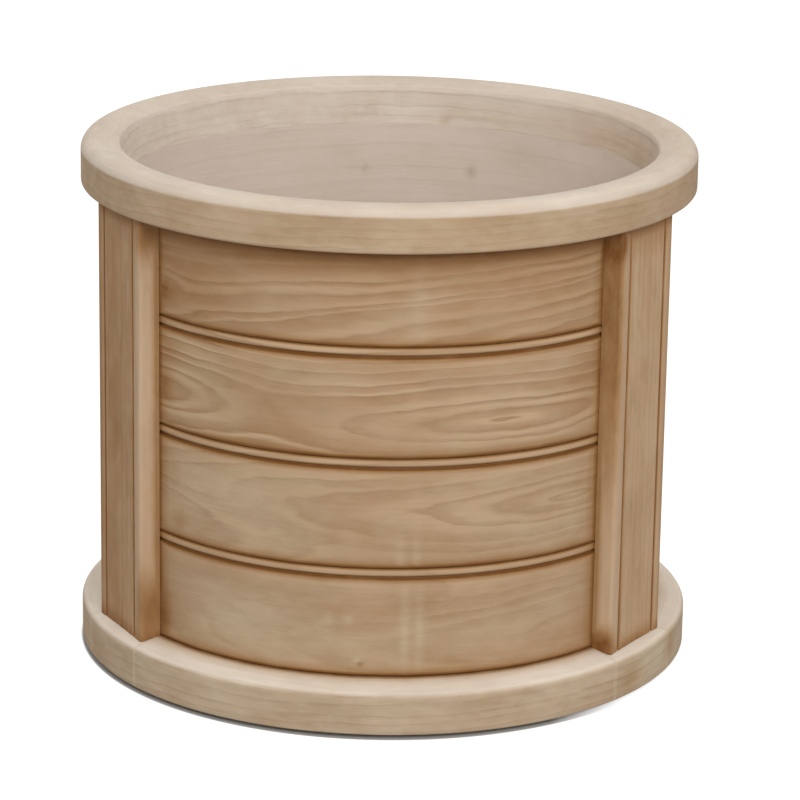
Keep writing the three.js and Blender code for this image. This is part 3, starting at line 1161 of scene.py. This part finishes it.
@dataclass
class PlinthRing:
    """Plinth ring: three long segments and a block under each post.

    Attributes:
        edge_round: rounding of the outer top edge.
        arris: rounding of the outer lower edge.
        loops: level loops in the section.
        shelf_span: width of the top that stands for 1 in the place of the stain.
        side_span: height that stands for 1 in the place of the zones.
        joint_span: distance from a joint that stands for 1 in the place of the zones.
        limes: patches of thick wash.
        stains: patches of stain.
    """

    edge_round: float = 0.005
    arris: float = 0.002
    loops: int = 6
    shelf_span: float = 0.03
    side_span: float = 0.05
    joint_span: float = 0.01
    limes: tuple[Spot, ...] = (
        Spot(0.340, 0.030, 0.070, 0.030, 0.75), Spot(-0.030, 0.036, 0.100, 0.010, 0.3),
        Spot(-0.210, 0.040, 0.060, 0.010, 0.35),
    )
    stains: tuple[Spot, ...] = (
        Spot(0.290, 0.022, 0.018, 0.014, 0.3), Spot(0.378, 0.028, 0.014, 0.014, 0.3),
    )

    def section(self) -> list[Corner]:
        """Corners of the plinth's section, with its weathered top."""
        return [
            Corner(WALL.plinth_bore, LEVELS.pad_top),
            Corner(WALL.plinth_outer, LEVELS.pad_top, self.arris, 3),
            Corner(WALL.plinth_outer, LEVELS.plinth_edge, self.edge_round, 6),
            Corner(WALL.board_face, LEVELS.shelf),
            Corner(WALL.plinth_bore, LEVELS.shelf),
        ]

    def lie(self, turn: float, half: float) -> Callable[[Vector], Lie]:
        """How the grain lies on a piece of the plinth.

        Args:
            turn: azimuth of the piece, in radians, from -pi to pi.
            half: degrees on each side of its middle.

        Returns:
            A function of a point about azimuth 0.
        """

        def at(point: Vector) -> Lie:
            """Grain that runs round the plinth."""
            radius, azimuth = math.hypot(point.x, point.y), azimuth_of(point)
            from_joint = (math.radians(half) - abs(azimuth)) * WALL.plinth_outer
            return Lie((azimuth + turn) * WALL.plinth_outer, point.z, WALL.plinth_outer - radius,
                       ((radius - WALL.board_face) / self.shelf_span, point.z / self.side_span,
                        from_joint / self.joint_span))

        return at

    def build(self) -> None:
        """Makes and dresses the segments and the blocks."""
        loops = spread(LEVELS.pad_top, LEVELS.plinth_edge, self.loops)
        figure = replace(RING_FIGURE, spots=self.stains, washes=self.limes)
        segments = [(bay, "plinth_segment", BAY_HALF - BLOCK_HALF) for bay in Bay]
        blocks = [(station, "plinth_block", BLOCK_HALF) for station in Station]
        for place, part, half in segments + blocks:
            bm = sweep(self.section(), half - HAIRLINE, loops)
            place_piece(f"{place.name.lower()}_{part}", bm, place.value, PLINTH_FINISH,
                        self.lie(turn_of(place), half), figure)


@dataclass
class Posts:
    """Three wide flat posts with a quirk and a rounded bead along each edge.

    Attributes:
        width: width of the face.
        quirk_inset: how far a quirk's middle lies inside the edge.
        quirk_width: width of a quirk.
        quirk_depth: depth of a quirk.
        quirk_arris: rounding of a quirk's edge on the flat's side, and of its bottom.
        bead_arris: rounding of a quirk's edge on the bead's side.
        corner_round: rounding of the face's edges.
        inner_width: width of the back, which lies between the boards' ends.
        side_step: distance between the corners that hold the stain on a side.
        side_steps: number of those corners.
        face_steps: corners that hold the stain across the flat.
        loops: level loops in a post.
        out_span: distance outwards that stands for 1 in the place of the stain.
        rim_span: distance below the rim that stands for 1 in the place of the stain and of the shade
            painted under the rim.
        seed: seed of the posts' figures, with a station's number added.
    """

    width: float = 0.097
    quirk_inset: float = 0.0155
    quirk_width: float = 0.0034
    quirk_depth: float = 0.0026
    quirk_arris: tuple[float, float] = (0.0006, 0.0005)
    bead_arris: float = 0.0008
    corner_round: float = 0.0035
    inner_width: float = 0.073
    side_step: float = 0.004
    side_steps: int = 3
    face_steps: int = 7
    loops: int = 60
    out_span: float = 0.013
    rim_span: float = 0.05
    seed: int = 30

    def outline(self) -> list[Corner]:
        """Corners of the post in plan, from its left back round its face to its right back."""
        half, inner = self.width / 2, self.inner_width / 2
        quirk = half - self.quirk_inset
        housing = WALL.board_face + LEVELS.clearance
        edge_arris, bottom_arris = self.quirk_arris
        below = WALL.post_face - self.corner_round
        steps = [Corner(half, below - self.side_step * (i + 1)) for i in range(self.side_steps)]
        side = [
            Corner(quirk - self.quirk_width / 2, WALL.post_face, edge_arris, 2),
            Corner(quirk, WALL.post_face - self.quirk_depth, bottom_arris, 2),
            Corner(quirk + self.quirk_width / 2, WALL.post_face, self.bead_arris, 2),
            Corner(half, WALL.post_face, self.corner_round, 6),
            *steps,
            Corner(half, math.sqrt(housing**2 - half**2)),
            Corner(inner, math.sqrt(housing**2 - inner**2)),
            Corner(inner, math.sqrt(WALL.board_back**2 - inner**2)),
        ]
        mirrored = [Corner(-c.across, c.up, c.rounding, c.segments) for c in reversed(side)]
        flat = quirk - self.quirk_width
        across = (-flat, *spread(-flat, flat, self.face_steps), flat)
        face = [Corner(place, WALL.post_face) for place in across]
        return [*mirrored, *face, *side, Corner(0.0, WALL.board_back)]

    def shape(self) -> bmesh.types.BMesh:
        """The post, scribed to the plinth's weathered top.

        Returns:
            A closed solid.
        """
        bm = outline_face(self.outline(), lambda across, out: Vector((across, -out, 0.0)))
        raise_outline(bm, LEVELS.rim_underside - LEVELS.clearance - LEVELS.wall_foot)
        bmesh.ops.translate(bm, verts=bm.verts, vec=(0, 0, LEVELS.wall_foot))
        foot = [vert for vert in bm.verts if vert.co.z < LEVELS.shelf + 0.001]
        for vert in foot:
            beyond = math.hypot(vert.co.x, vert.co.y) - WALL.board_face
            vert.co.z -= max(0.0, beyond) * LEVELS.foot_slope
        slice_level(bm, spread(LEVELS.wall_foot, LEVELS.rim_underside, self.loops))
        return bm

    def lie(self, point: Vector) -> Lie:
        """Grain that runs up the post."""
        out = -point.y - WALL.board_face
        return Lie(
            point.z, point.x, out,
            (abs(point.x) / (self.width / 2), out / self.out_span,
             (LEVELS.rim_underside - point.z) / self.rim_span),
        )

    def figure(self, station: Station) -> Figure:
        """Straight grain, with the stain that has gathered on a post's sides, and painted shade along
        its foot, where it meets the plinth.

        Args:
            station: place of the post.

        Returns:
            The figure.
        """
        stains = {
            Station.LEFT: (
                Spot(0.080, 0.0485, 0.034, 0.006, 0.6), Spot(0.260, -0.010, 0.500, 0.040, 0.36),
                Spot(0.450, 0.0485, 0.020, 0.006, 0.7), Spot(0.260, -0.0450, 0.500, 0.006, 0.4),
            ),
            Station.RIGHT: (
                Spot(0.058, -0.0485, 0.013, 0.004, 0.9), Spot(0.380, -0.0485, 0.150, 0.0038, 0.7),
                Spot(0.455, -0.047, 0.016, 0.007, 0.9), Spot(0.260, 0.0450, 0.500, 0.006, 0.35),
                Spot(0.260, 0.0, 0.500, 0.040, 0.12),
            ),
        }
        limes = {
            Station.LEFT: (Spot(0.300, 0.0485, 0.150, 0.005, 0.35),),
            Station.RIGHT: (Spot(0.140, -0.0480, 0.080, 0.006, 0.6),),
        }
        seed = self.seed + station.value // Station.RIGHT.value
        # Painted shade: a dark band along the post's foot, where it meets the plinth.
        foot = Spot(0.048, 0.0, 0.008, 0.090, 0.65)
        return Figure(eyes=far_figure(seed).eyes, spots=(foot, *stains.get(station, ())),
                      washes=limes.get(station, ()), seed=seed)

    def build(self) -> None:
        """Makes and dresses the three posts."""
        for station in Station:
            place_piece(f"{station.name.lower()}_post", self.shape(), station.value, POST_FINISH,
                        self.lie, self.figure(station))


@dataclass
class BoardBays:
    """Three bays of four curved boards, each with a bead and a quirk along its top edge.

    Attributes:
        rows: boards in a bay.
        end_half: degrees from a bay's middle to the boards' ends.
        visible_half: degrees from a bay's middle to the posts' sides.
        bead_width: height of the bead's strip.
        bead_depth: rounding of the bead.
        quirk_width: height of the quirk.
        quirk_depth: depth of the quirk.
        quirk_arris: rounding of the quirk's upper edge, and of its bottom.
        arris_depth: how far the lower edge is cut back.
        arris_height: how high the lower edge is cut.
        arris_round: rounding of that cut's upper end.
        tongue_thickness: thickness of the tongue.
        tongue_height: height of the tongue.
        loops: level loops in a board's face.
        loop_margins: how far the loops stay off the board's foot and off the next board's.
        end_span: distance from a post that stands for 1 in the place of the stain.
        rim_span: distance below the rim that stands for 1 in the place of the stain and of the shade
            painted under the rim.
        seed: seed of the figures of the boards that aren't at the front.
    """

    rows: int = 4
    end_half: float = 51.88
    visible_half: float = 49.73
    bead_width: float = 0.008
    bead_depth: float = 0.0035
    quirk_width: float = 0.003
    quirk_depth: float = 0.003
    quirk_arris: tuple[float, float] = (0.0008, 0.0005)
    arris_depth: float = 0.0018
    arris_height: float = 0.0015
    arris_round: float = 0.0007
    tongue_thickness: float = 0.004
    tongue_height: float = 0.005
    loops: int = 30
    loop_margins: tuple[float, float] = (0.004, 0.0127)
    end_span: float = 0.04
    rim_span: float = 0.05
    seed: int = 50

    def section(self, row: int) -> list[Corner]:
        """Corners of a board's section.

        Args:
            row: row of the board, counted from the bottom.

        Returns:
            The corners, anticlockwise from the back of the foot.
        """
        low = LEVELS.wall_foot + row * LEVELS.board_pitch
        high = low + LEVELS.board_pitch - LEVELS.clearance
        face, back = WALL.board_face, WALL.board_back
        middle = (back + face - self.bead_depth) / 2
        tongue = self.tongue_thickness / 2
        groove, roof = tongue + LEVELS.clearance, low + self.tongue_height + LEVELS.clearance
        bead_foot, tip = high - self.bead_width, high + self.tongue_height
        edge_arris, bottom_arris = self.quirk_arris
        under = [
            Corner(middle - groove, low), Corner(middle - groove, roof),
            Corner(middle + groove, roof), Corner(middle + groove, low),
        ]
        over = [
            Corner(middle + tongue, high), Corner(middle + tongue, tip),
            Corner(middle - tongue, tip), Corner(middle - tongue, high),
        ]
        bead = [
            Corner(face, bead_foot - self.quirk_width, edge_arris, 3),
            Corner(face - self.quirk_depth, bead_foot - self.quirk_width / 2, bottom_arris, 2),
            Corner(face - self.bead_depth, bead_foot),
            Corner(face, bead_foot, self.bead_depth, 8),
            Corner(face, high, self.bead_depth, 8),
        ]
        is_top = row == self.rows - 1
        return [
            Corner(back, low), *([] if row == 0 else under),
            Corner(face - self.arris_depth, low),
            Corner(face, low + self.arris_height, self.arris_round, 3),
            *([Corner(face, high)] if is_top else [*bead, *over]), Corner(back, high),
        ]

    def lie(self, row: int) -> Callable[[Vector], Lie]:
        """How the grain lies on the boards of a row.

        Args:
            row: row of the boards, counted from the bottom.

        Returns:
            A function of a point about azimuth 0.
        """
        low = LEVELS.wall_foot + row * LEVELS.board_pitch
        visible = math.radians(self.visible_half)

        def at(point: Vector) -> Lie:
            """Grain that runs along the board."""
            azimuth = azimuth_of(point)
            height = point.z - low
            inset = (visible - abs(azimuth)) * WALL.board_face
            depth = WALL.board_face - math.hypot(point.x, point.y)
            return Lie(azimuth * WALL.board_face, height, depth,
                       (inset / self.end_span, height / LEVELS.board_pitch,
                        (LEVELS.rim_underside - point.z) / self.rim_span))

        return at

    def figures(self) -> dict[tuple[Bay, int], Figure]:
        """Figures of the front boards, after their look from outside.

        Returns:
            Figures by bay and row.
        """
        return {
            (Bay.FRONT, 3): Figure(
                eyes=(Eye(-0.227, 0.028, 0.5), Eye(0.50, -0.030, 0.12, reach=0.09)), seed=41,
                spots=(Spot(-0.190, 0.050, 0.075, 0.060, 0.28), Spot(-0.229, 0.026, 0.013, 0.010, 0.6),
                       Spot(0.200, 0.050, 0.070, 0.060, 0.16)),
                washes=(Spot(0.045, 0.045, 0.022, 0.014, 0.35), Spot(0.040, 0.040, 0.009, 0.040, 0.3)),
            ),
            (Bay.FRONT, 2): Figure(
                eyes=(Eye(0.124, 0.034, 0.13), Eye(-0.245, 0.037, 0.20)), rings=1.35, seed=42,
                spots=(Spot(-0.232, 0.037, 0.016, 0.018, 0.55), Spot(-0.235, 0.075, 0.03, 0.02, 0.3),
                       Spot(0.220, 0.050, 0.030, 0.050, 0.18)),
                washes=(Spot(-0.050, 0.075, 0.05, 0.012, 0.2),),
            ),
            (Bay.FRONT, 1): Figure(
                eyes=(Eye(0.200, 0.055, 0.12), Eye(-0.40, 0.020, 0.12)), rings=0.75, seed=43,
                spots=(Spot(-0.208, 0.018, 0.014, 0.012, 0.25),),
                washes=(Spot(-0.150, 0.048, 0.085, 0.045, 0.55), Spot(-0.050, 0.030, 0.050, 0.018, 0.3),
                        Spot(0.170, 0.050, 0.080, 0.050, 0.3), Spot(0.026, 0.002, 0.0045, 0.024, 0.45),
                        Spot(0.041, 0.006, 0.0045, 0.026, 0.45)),
            ),
            (Bay.FRONT, 0): Figure(
                eyes=(Eye(0.340, 0.030, 0.10), Eye(-0.45, 0.090, 0.10)), rings=0.4, seed=44,
                spots=(Spot(-0.234, 0.022, 0.014, 0.030, 0.8), Spot(0.242, 0.012, 0.018, 0.014, 0.5),
                       Spot(-0.0105, 0.0115, 0.0035, 0.003, 0.5)),
                washes=(Spot(-0.110, 0.042, 0.075, 0.042, 0.6), Spot(-0.040, 0.055, 0.006, 0.005, 0.5),
                        Spot(0.120, 0.055, 0.120, 0.060, 0.25), Spot(-0.022, 0.056, 0.005, 0.005, 0.5),
                        Spot(-0.013, 0.0155, 0.0035, 0.0025, 0.6),
                        Spot(0.031, 0.055, 0.0045, 0.050, 0.4), Spot(0.045, 0.050, 0.0045, 0.060, 0.4)),
            ),
        }

    def build(self) -> None:
        """Makes and dresses the twelve boards."""
        figures = self.figures()
        for bay in Bay:
            for row in range(self.rows):
                low = LEVELS.wall_foot + row * LEVELS.board_pitch
                foot_margin, top_margin = self.loop_margins
                loops = spread(low + foot_margin, low + LEVELS.board_pitch - top_margin, self.loops)
                figure = figures.get((bay, row)) or self.varied_figure(bay, row)
                step = FINE_STEP if bay is Bay.FRONT else STEP_DEGREES
                bm = sweep(self.section(row), self.end_half, loops, step)
                place_piece(f"{bay.name.lower()}_board_{row + 1}", bm, bay.value, BOARD_FINISH,
                            self.lie(row), figure)

    def varied_figure(self, bay: Bay, row: int) -> Figure:
        """Figure of a board that isn't at the front.

        Args:
            bay: the board's bay.
            row: its row, counted from the bottom.

        Returns:
            A figure unlike its neighbours'.
        """
        turn = bay.value / Bay.RIGHT.value * 1.9 + row * 2.3
        across, taper = 0.045 + 0.015 * math.cos(turn), 0.14 + 0.04 * math.sin(2 * turn)
        first = Eye(0.2 * math.sin(turn), across, taper)
        second = Eye(-0.3 * math.cos(turn * 1.3), 0.04 + 0.02 * math.sin(turn * 1.7), 0.12)
        return Figure(eyes=(first, second), seed=self.seed + bay.value // 10 + row)


@dataclass
class Lining:
    """Three thin bent sheets that line the wall.

    Attributes:
        seam_half: half of the gap between two sheets, in degrees.
        top_gap: gap between the sheets and the rim.
        step: about how many degrees lie between two sections.
        loops: level loops in the part of a sheet that shows.
        shown_from: height where that part starts.
        shown_to: height where it ends.
        seed: seed of the figure.
        marks: small dark marks on the wall.
    """

    seam_half: float = 0.005
    top_gap: float = 0.00005
    step: float = 1.0
    loops: int = 25
    shown_from: float = 0.36
    shown_to: float = 0.46
    seed: int = 7
    marks: tuple[Spot, ...] = (
        Spot(0.7305, 0.4187, 0.0045, 0.006, 0.35), Spot(0.8429, 0.4193, 0.004, 0.005, 0.2),
        Spot(0.6700, 0.4400, 0.030, 0.020, 0.08),
    )

    def section(self) -> list[Corner]:
        """Corners of the sheet's section."""
        foot, top = LEVELS.wall_foot, LEVELS.rim_underside - self.top_gap
        return [
            Corner(WALL.bore, foot), Corner(WALL.lining_outer, foot), Corner(WALL.lining_outer, top),
            Corner(WALL.bore, top),
        ]

    def lie(self, bay: Bay) -> Callable[[Vector], Lie]:
        """How the grain lies on the sheet of a bay.

        Args:
            bay: the bay.

        Returns:
            A function of a point about azimuth 0.
        """
        turn = math.radians(bay.value)
        return lambda point: Lie(
            (azimuth_of(point) + turn) * WALL.bore, point.z, math.hypot(point.x, point.y) - WALL.bore,
            (0.0, 0.0, 0.0))

    def build(self) -> None:
        """Makes and dresses the three sheets, as one run of grain that starts behind the front bay."""
        figure = replace(far_figure(self.seed), spots=self.marks)
        loops = spread(self.shown_from, self.shown_to, self.loops)
        for bay in Bay:
            bm = sweep(self.section(), BAY_HALF - self.seam_half, loops, self.step)
            place_piece(f"{bay.name.lower()}_lining_sheet", bm, bay.value, LINING_FINISH,
                        self.lie(bay), figure)


@dataclass
class Floor:
    """Slatted floor on two bearers.

    Attributes:
        slats: slats across the floor.
        slat_thickness: thickness of a slat.
        slat_gap: drainage gap between two slats.
        bearer_width: width of a bearer.
        bearer_height: height of a bearer.
        bearer_offset: distance of a bearer's middle from the axis.
        bearer_reach: radius that the bearers' ends follow.
        arris: rounding of the level edges.
        rim_steps: sides of the disc that a plank is cut from.
        slat_seed: seed of the first slat's figure.
        bearer_seed: seed of the first bearer's figure.
    """

    slats: int = 8
    slat_thickness: float = 0.018
    slat_gap: float = 0.006
    bearer_width: float = 0.032
    bearer_height: float = 0.030
    bearer_offset: float = 0.085
    bearer_reach: float = 0.248
    arris: float = 0.0015
    rim_steps: int = 192
    slat_seed: int = 80
    bearer_seed: int = 90

    def plank(self, radius: float, low: Vector, high: Vector) -> bmesh.types.BMesh:
        """Cuts a plank with rounded ends out of a disc.

        Args:
            radius: radius of the disc.
            low: lowest corner of the plank.
            high: highest corner of the plank.

        Returns:
            A closed solid with softened edges.
        """
        bm = bmesh.new()
        bmesh.ops.create_circle(bm, cap_ends=True, segments=self.rim_steps, radius=radius)
        sides = (((low.x, 0, 0), (-1, 0, 0)), ((high.x, 0, 0), (1, 0, 0)),
                 ((0, low.y, 0), (0, -1, 0)), ((0, high.y, 0), (0, 1, 0)))
        for point, normal in sides:
            bmesh.ops.bisect_plane(
                bm, geom=[*bm.verts, *bm.edges, *bm.faces], dist=TOUCH, plane_co=point, plane_no=normal,
                clear_outer=True,
            )
        bmesh.ops.translate(bm, verts=bm.verts, vec=(0, 0, low.z))
        raise_outline(bm, high.z - low.z)
        soften_level_edges(bm, self.arris)
        return bm

    def build(self) -> None:
        """Makes and dresses the slats and the bearers."""
        radius = WALL.bore - LEVELS.clearance
        width = (2 * radius - (self.slats - 1) * self.slat_gap) / self.slats
        bottom = LEVELS.wall_foot
        for index in range(self.slats):
            front = -radius + index * (width + self.slat_gap)
            bm = self.plank(radius, Vector((-radius, front, bottom)),
                            Vector((radius, front + width, bottom + self.slat_thickness)))
            place_piece(f"floor_slat_{index + 1}", bm, 0, FLOOR_FINISH,
                        plain_lie, far_figure(self.slat_seed + index))
        half, bearer_foot = self.bearer_width / 2, LEVELS.shelf - self.bearer_height
        for index, side in enumerate((-1, 1)):
            middle = side * self.bearer_offset
            bm = self.plank(self.bearer_reach,
                            Vector((middle - half, -self.bearer_reach, bearer_foot)),
                            Vector((middle + half, self.bearer_reach, LEVELS.shelf)))
            place_piece(f"floor_bearer_{index + 1}", bm, 0, FLOOR_FINISH,
                        lambda point: plain_lie(point.yxz), far_figure(self.bearer_seed + index))


@dataclass
class FootPads:
    """Low rubber pads under the plinth blocks.

    Attributes:
        radius: radius of a pad.
        middle: distance of a pad's middle from the axis.
        arris: rounding of the level edges.
        sides: sides of a pad's outline.
    """

    radius: float = 0.022
    middle: float = 0.268
    arris: float = 0.0008
    sides: int = 64

    def build(self) -> None:
        """Makes and dresses the three pads."""
        for station in Station:
            bm = bmesh.new()
            bmesh.ops.create_circle(bm, cap_ends=True, segments=self.sides, radius=self.radius)
            raise_outline(bm, LEVELS.pad_top)
            soften_level_edges(bm, self.arris)
            bmesh.ops.translate(bm, verts=bm.verts, vec=(0, -self.middle, 0))
            place_piece(f"{station.name.lower()}_foot_pad", bm, station.value, RUBBER,
                        plain_lie, far_figure(0))


@dataclass
class Joinery:
    """Hidden rim tongues and plinth dowels, which stay as the CAD made them."""

    def build(self) -> None:
        """Dresses the CAD nodes."""
        finish = JOINERY_FINISH.material()
        for station in Station:
            for part in ("rim_key", "plinth_dowel_1", "plinth_dowel_2"):
                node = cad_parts[f"{station.name.lower()}_{part}"]
                write_places(node.data, plain_lie, far_figure(station.value))
                node.data.materials.clear()
                node.data.materials.append(finish)
                log.info("%s: finish only", node.name)


# ---- Stage --------------------------------------------------------------------------------------

WHITE = (1.0, 1.0, 1.0, 1.0)

@dataclass(frozen=True)
class View:
    """Camera of the photograph, about the planter's axis.

    Attributes:
        distance: level distance from the axis.
        height: height above the ground.
        turn: azimuth of the camera, in degrees.
        pitch: degrees that it looks down.
        yaw: degrees that it looks to the right of the axis.
        roll: degrees that it is rolled.
        lens: focal length in millimetres.
        sensor: width of the sensor in millimetres.
        sight: how far it sees.
    """

    distance: float = 3.5236
    height: float = 1.28658
    turn: float = 2.2
    pitch: float = 16.519
    yaw: float = 0.226
    roll: float = 0.916
    lens: float = 166.5
    sensor: float = 36.0
    sight: float = 100.0

    def build(self) -> None:
        """Makes the camera."""
        heading, pitch, roll = (math.radians(v) for v in (self.turn, self.pitch, self.roll))
        yaw = math.radians(self.yaw) - heading
        flat = math.cos(pitch)
        forward = Vector((math.sin(yaw) * flat, math.cos(yaw) * flat, -math.sin(pitch)))
        level = forward.cross(Vector((0, 0, 1))).normalized()
        upward = level.cross(forward)
        right = level * math.cos(roll) + upward * math.sin(roll)
        top = upward * math.cos(roll) - level * math.sin(roll)
        camera = bpy.data.objects.new("camera", bpy.data.cameras.new("camera"))
        camera.data.lens = self.lens
        camera.data.sensor_width = self.sensor
        camera.data.clip_end = self.sight
        axes = Matrix((right, top, -forward)).transposed().to_4x4()
        across, back = self.distance * math.sin(heading), -self.distance * math.cos(heading)
        camera.matrix_world = Matrix.Translation((across, back, self.height)) @ axes
        bpy.context.scene.collection.objects.link(camera)
        bpy.context.scene.camera = camera


@dataclass(frozen=True)
class Studio:
    """Pale floor, white surround and soft lamps.

    Attributes:
        surround: strength of the surround's light.
        surround_tint: colour of the surround's light.
        lamp_tint: colour of the lamps' light.
        aim: the point that the lamps look at.
        key: power of the lamp above the front right, in watts.
        key_place: where it hangs.
        key_size: length of its side.
        fill: power of the lamp above, in watts.
        fill_place: where it hangs.
        fill_size: length of its side.
        ground_size: size of the floor.
        ground_albedo: how much light the floor throws back.
        ground_lift: light that the camera alone sees the floor give off, so that it looks white.
        shadow_line: width round the plinth over which that light comes up.
        shadow_end: place across the floor past which the floor's glow, painted light, fades out the dark
            line under the plinth.
        shadow_fade: width over which it fades.
    """

    surround: float = 0.70
    surround_tint: tuple[float, float, float, float] = (1.0, 0.985, 0.965, 1.0)
    lamp_tint: tuple[float, float, float] = (1.0, 0.985, 0.96)
    aim: tuple[float, float, float] = (0.0, 0.0, 0.25)
    key: float = 39.0
    key_place: tuple[float, float, float] = (0.72, -2.75, 1.85)
    key_size: float = 1.4
    fill: float = 6.0
    fill_place: tuple[float, float, float] = (-0.2, 0.2, 2.8)
    fill_size: float = 2.0
    ground_size: float = 12.0
    ground_albedo: float = 0.5
    ground_lift: float = 0.76
    shadow_line: float = 0.002
    shadow_end: float = 0.17
    shadow_fade: float = 0.07

    def surround_light(self) -> None:
        """Lights the scene evenly from a world that looks white to the camera."""
        world = bpy.data.worlds.new("surround")
        world.use_nodes = True
        world.node_tree.nodes.clear()
        shading = Shading(world.node_tree)
        path = shading.add("ShaderNodeLightPath")
        seen = shading.math("MAXIMUM", path.outputs["Is Camera Ray"], path.outputs["Is Glossy Ray"])
        seen = shading.math("MAXIMUM", seen, path.outputs["Is Transmission Ray"])
        soft = shading.add(
            "ShaderNodeBackground", {"Color": self.surround_tint, "Strength": self.surround})
        white = shading.add("ShaderNodeBackground", {"Color": WHITE, "Strength": 1.0})
        both = shading.add("ShaderNodeMixShader", {0: seen, 1: soft.outputs[0], 2: white.outputs[0]})
        shading.add("ShaderNodeOutputWorld", {"Surface": both.outputs[0]})
        bpy.context.scene.world = world

    def lamp(
        self, name: str, place: tuple[float, float, float], size: float, power: float,
    ) -> None:
        """Makes a square lamp that looks at the planter.

        Args:
            name: name of the lamp.
            place: where it hangs.
            size: length of its side.
            power: its power in watts.
        """
        light = bpy.data.lights.new(name, "AREA")
        light.size = size
        light.energy = power
        light.color = self.lamp_tint
        lamp = bpy.data.objects.new(name, light)
        lamp.location = place
        lamp.rotation_mode = "QUATERNION"
        lamp.rotation_quaternion = (Vector(self.aim) - Vector(place)).to_track_quat("-Z", "Y")
        bpy.context.scene.collection.objects.link(lamp)

    def ground(self) -> None:
        """Lays a white floor that keeps the planter's shadow, save on the right, where its glow is
        painted light over the dark line under the plinth.
        """
        bm = bmesh.new()
        bmesh.ops.create_grid(bm, x_segments=1, y_segments=1, size=self.ground_size)
        mesh = bpy.data.meshes.new("ground")
        bm.to_mesh(mesh)
        bm.free()
        material, shading = empty_material("ground_white")
        path = shading.add("ShaderNodeLightPath")
        diffuse = shading.add("ShaderNodeBsdfDiffuse", {"Color": (*[self.ground_albedo] * 3, 1.0)})
        spot = shading.add("ShaderNodeTexCoord").outputs["Object"]
        beyond = shading.math("SUBTRACT", shading.length(spot), WALL.plinth_outer)
        outside = shading.math("DIVIDE", beyond, self.shadow_line, clamp=True)
        # Painted light: right of shadow_end the floor glows under the plinth as well, which fades out
        # the real shadow line there.
        across = shading.add("ShaderNodeSeparateXYZ", {"Vector": spot}).outputs["X"]
        past_end = shading.math("SUBTRACT", across, self.shadow_end)
        painted_glow = shading.math("DIVIDE", past_end, self.shadow_fade, clamp=True)
        outside = shading.math("MAXIMUM", outside, painted_glow)
        strength = shading.math("MULTIPLY", outside, self.ground_lift)
        lift = shading.add("ShaderNodeEmission", {"Color": WHITE, "Strength": strength})
        both = shading.add("ShaderNodeAddShader", {0: diffuse.outputs[0], 1: lift.outputs[0]})
        seen = shading.add("ShaderNodeMixShader", {
            0: path.outputs["Is Camera Ray"], 1: diffuse.outputs[0], 2: both.outputs[0]})
        below = shading.add("ShaderNodeNewGeometry").outputs["Backfacing"]
        clear = shading.add("ShaderNodeBsdfTransparent")
        sided = shading.add("ShaderNodeMixShader", {0: below, 1: seen.outputs[0], 2: clear.outputs[0]})
        shading.add("ShaderNodeOutputMaterial", {"Surface": sided.outputs[0]})
        mesh.materials.append(material)
        ground = bpy.data.objects.new("ground", mesh)
        bpy.context.scene.collection.objects.link(ground)

    def build(self) -> None:
        """Makes the surround, the lamps and the floor."""
        bpy.context.scene.view_settings.view_transform = "Standard"
        self.surround_light()
        self.lamp("key_lamp", self.key_place, self.key_size, self.key)
        self.lamp("top_lamp", self.fill_place, self.fill_size, self.fill)
        self.ground()


# ---- Assembly -----------------------------------------------------------------------------------


def main() -> None:
    """Builds the stage and every sub-assembly."""
    logging.basicConfig(level=logging.INFO, format="%(name)s: %(message)s")
    View().build()
    Studio().build()
    for assembly in (
        RimRing(), PlinthRing(), Posts(), BoardBays(), Lining(), Floor(), FootPads(), Joinery(),
    ):
        assembly.build()
        log.info("%s is built", type(assembly).__name__)


if __name__ == "__main__":
    main()
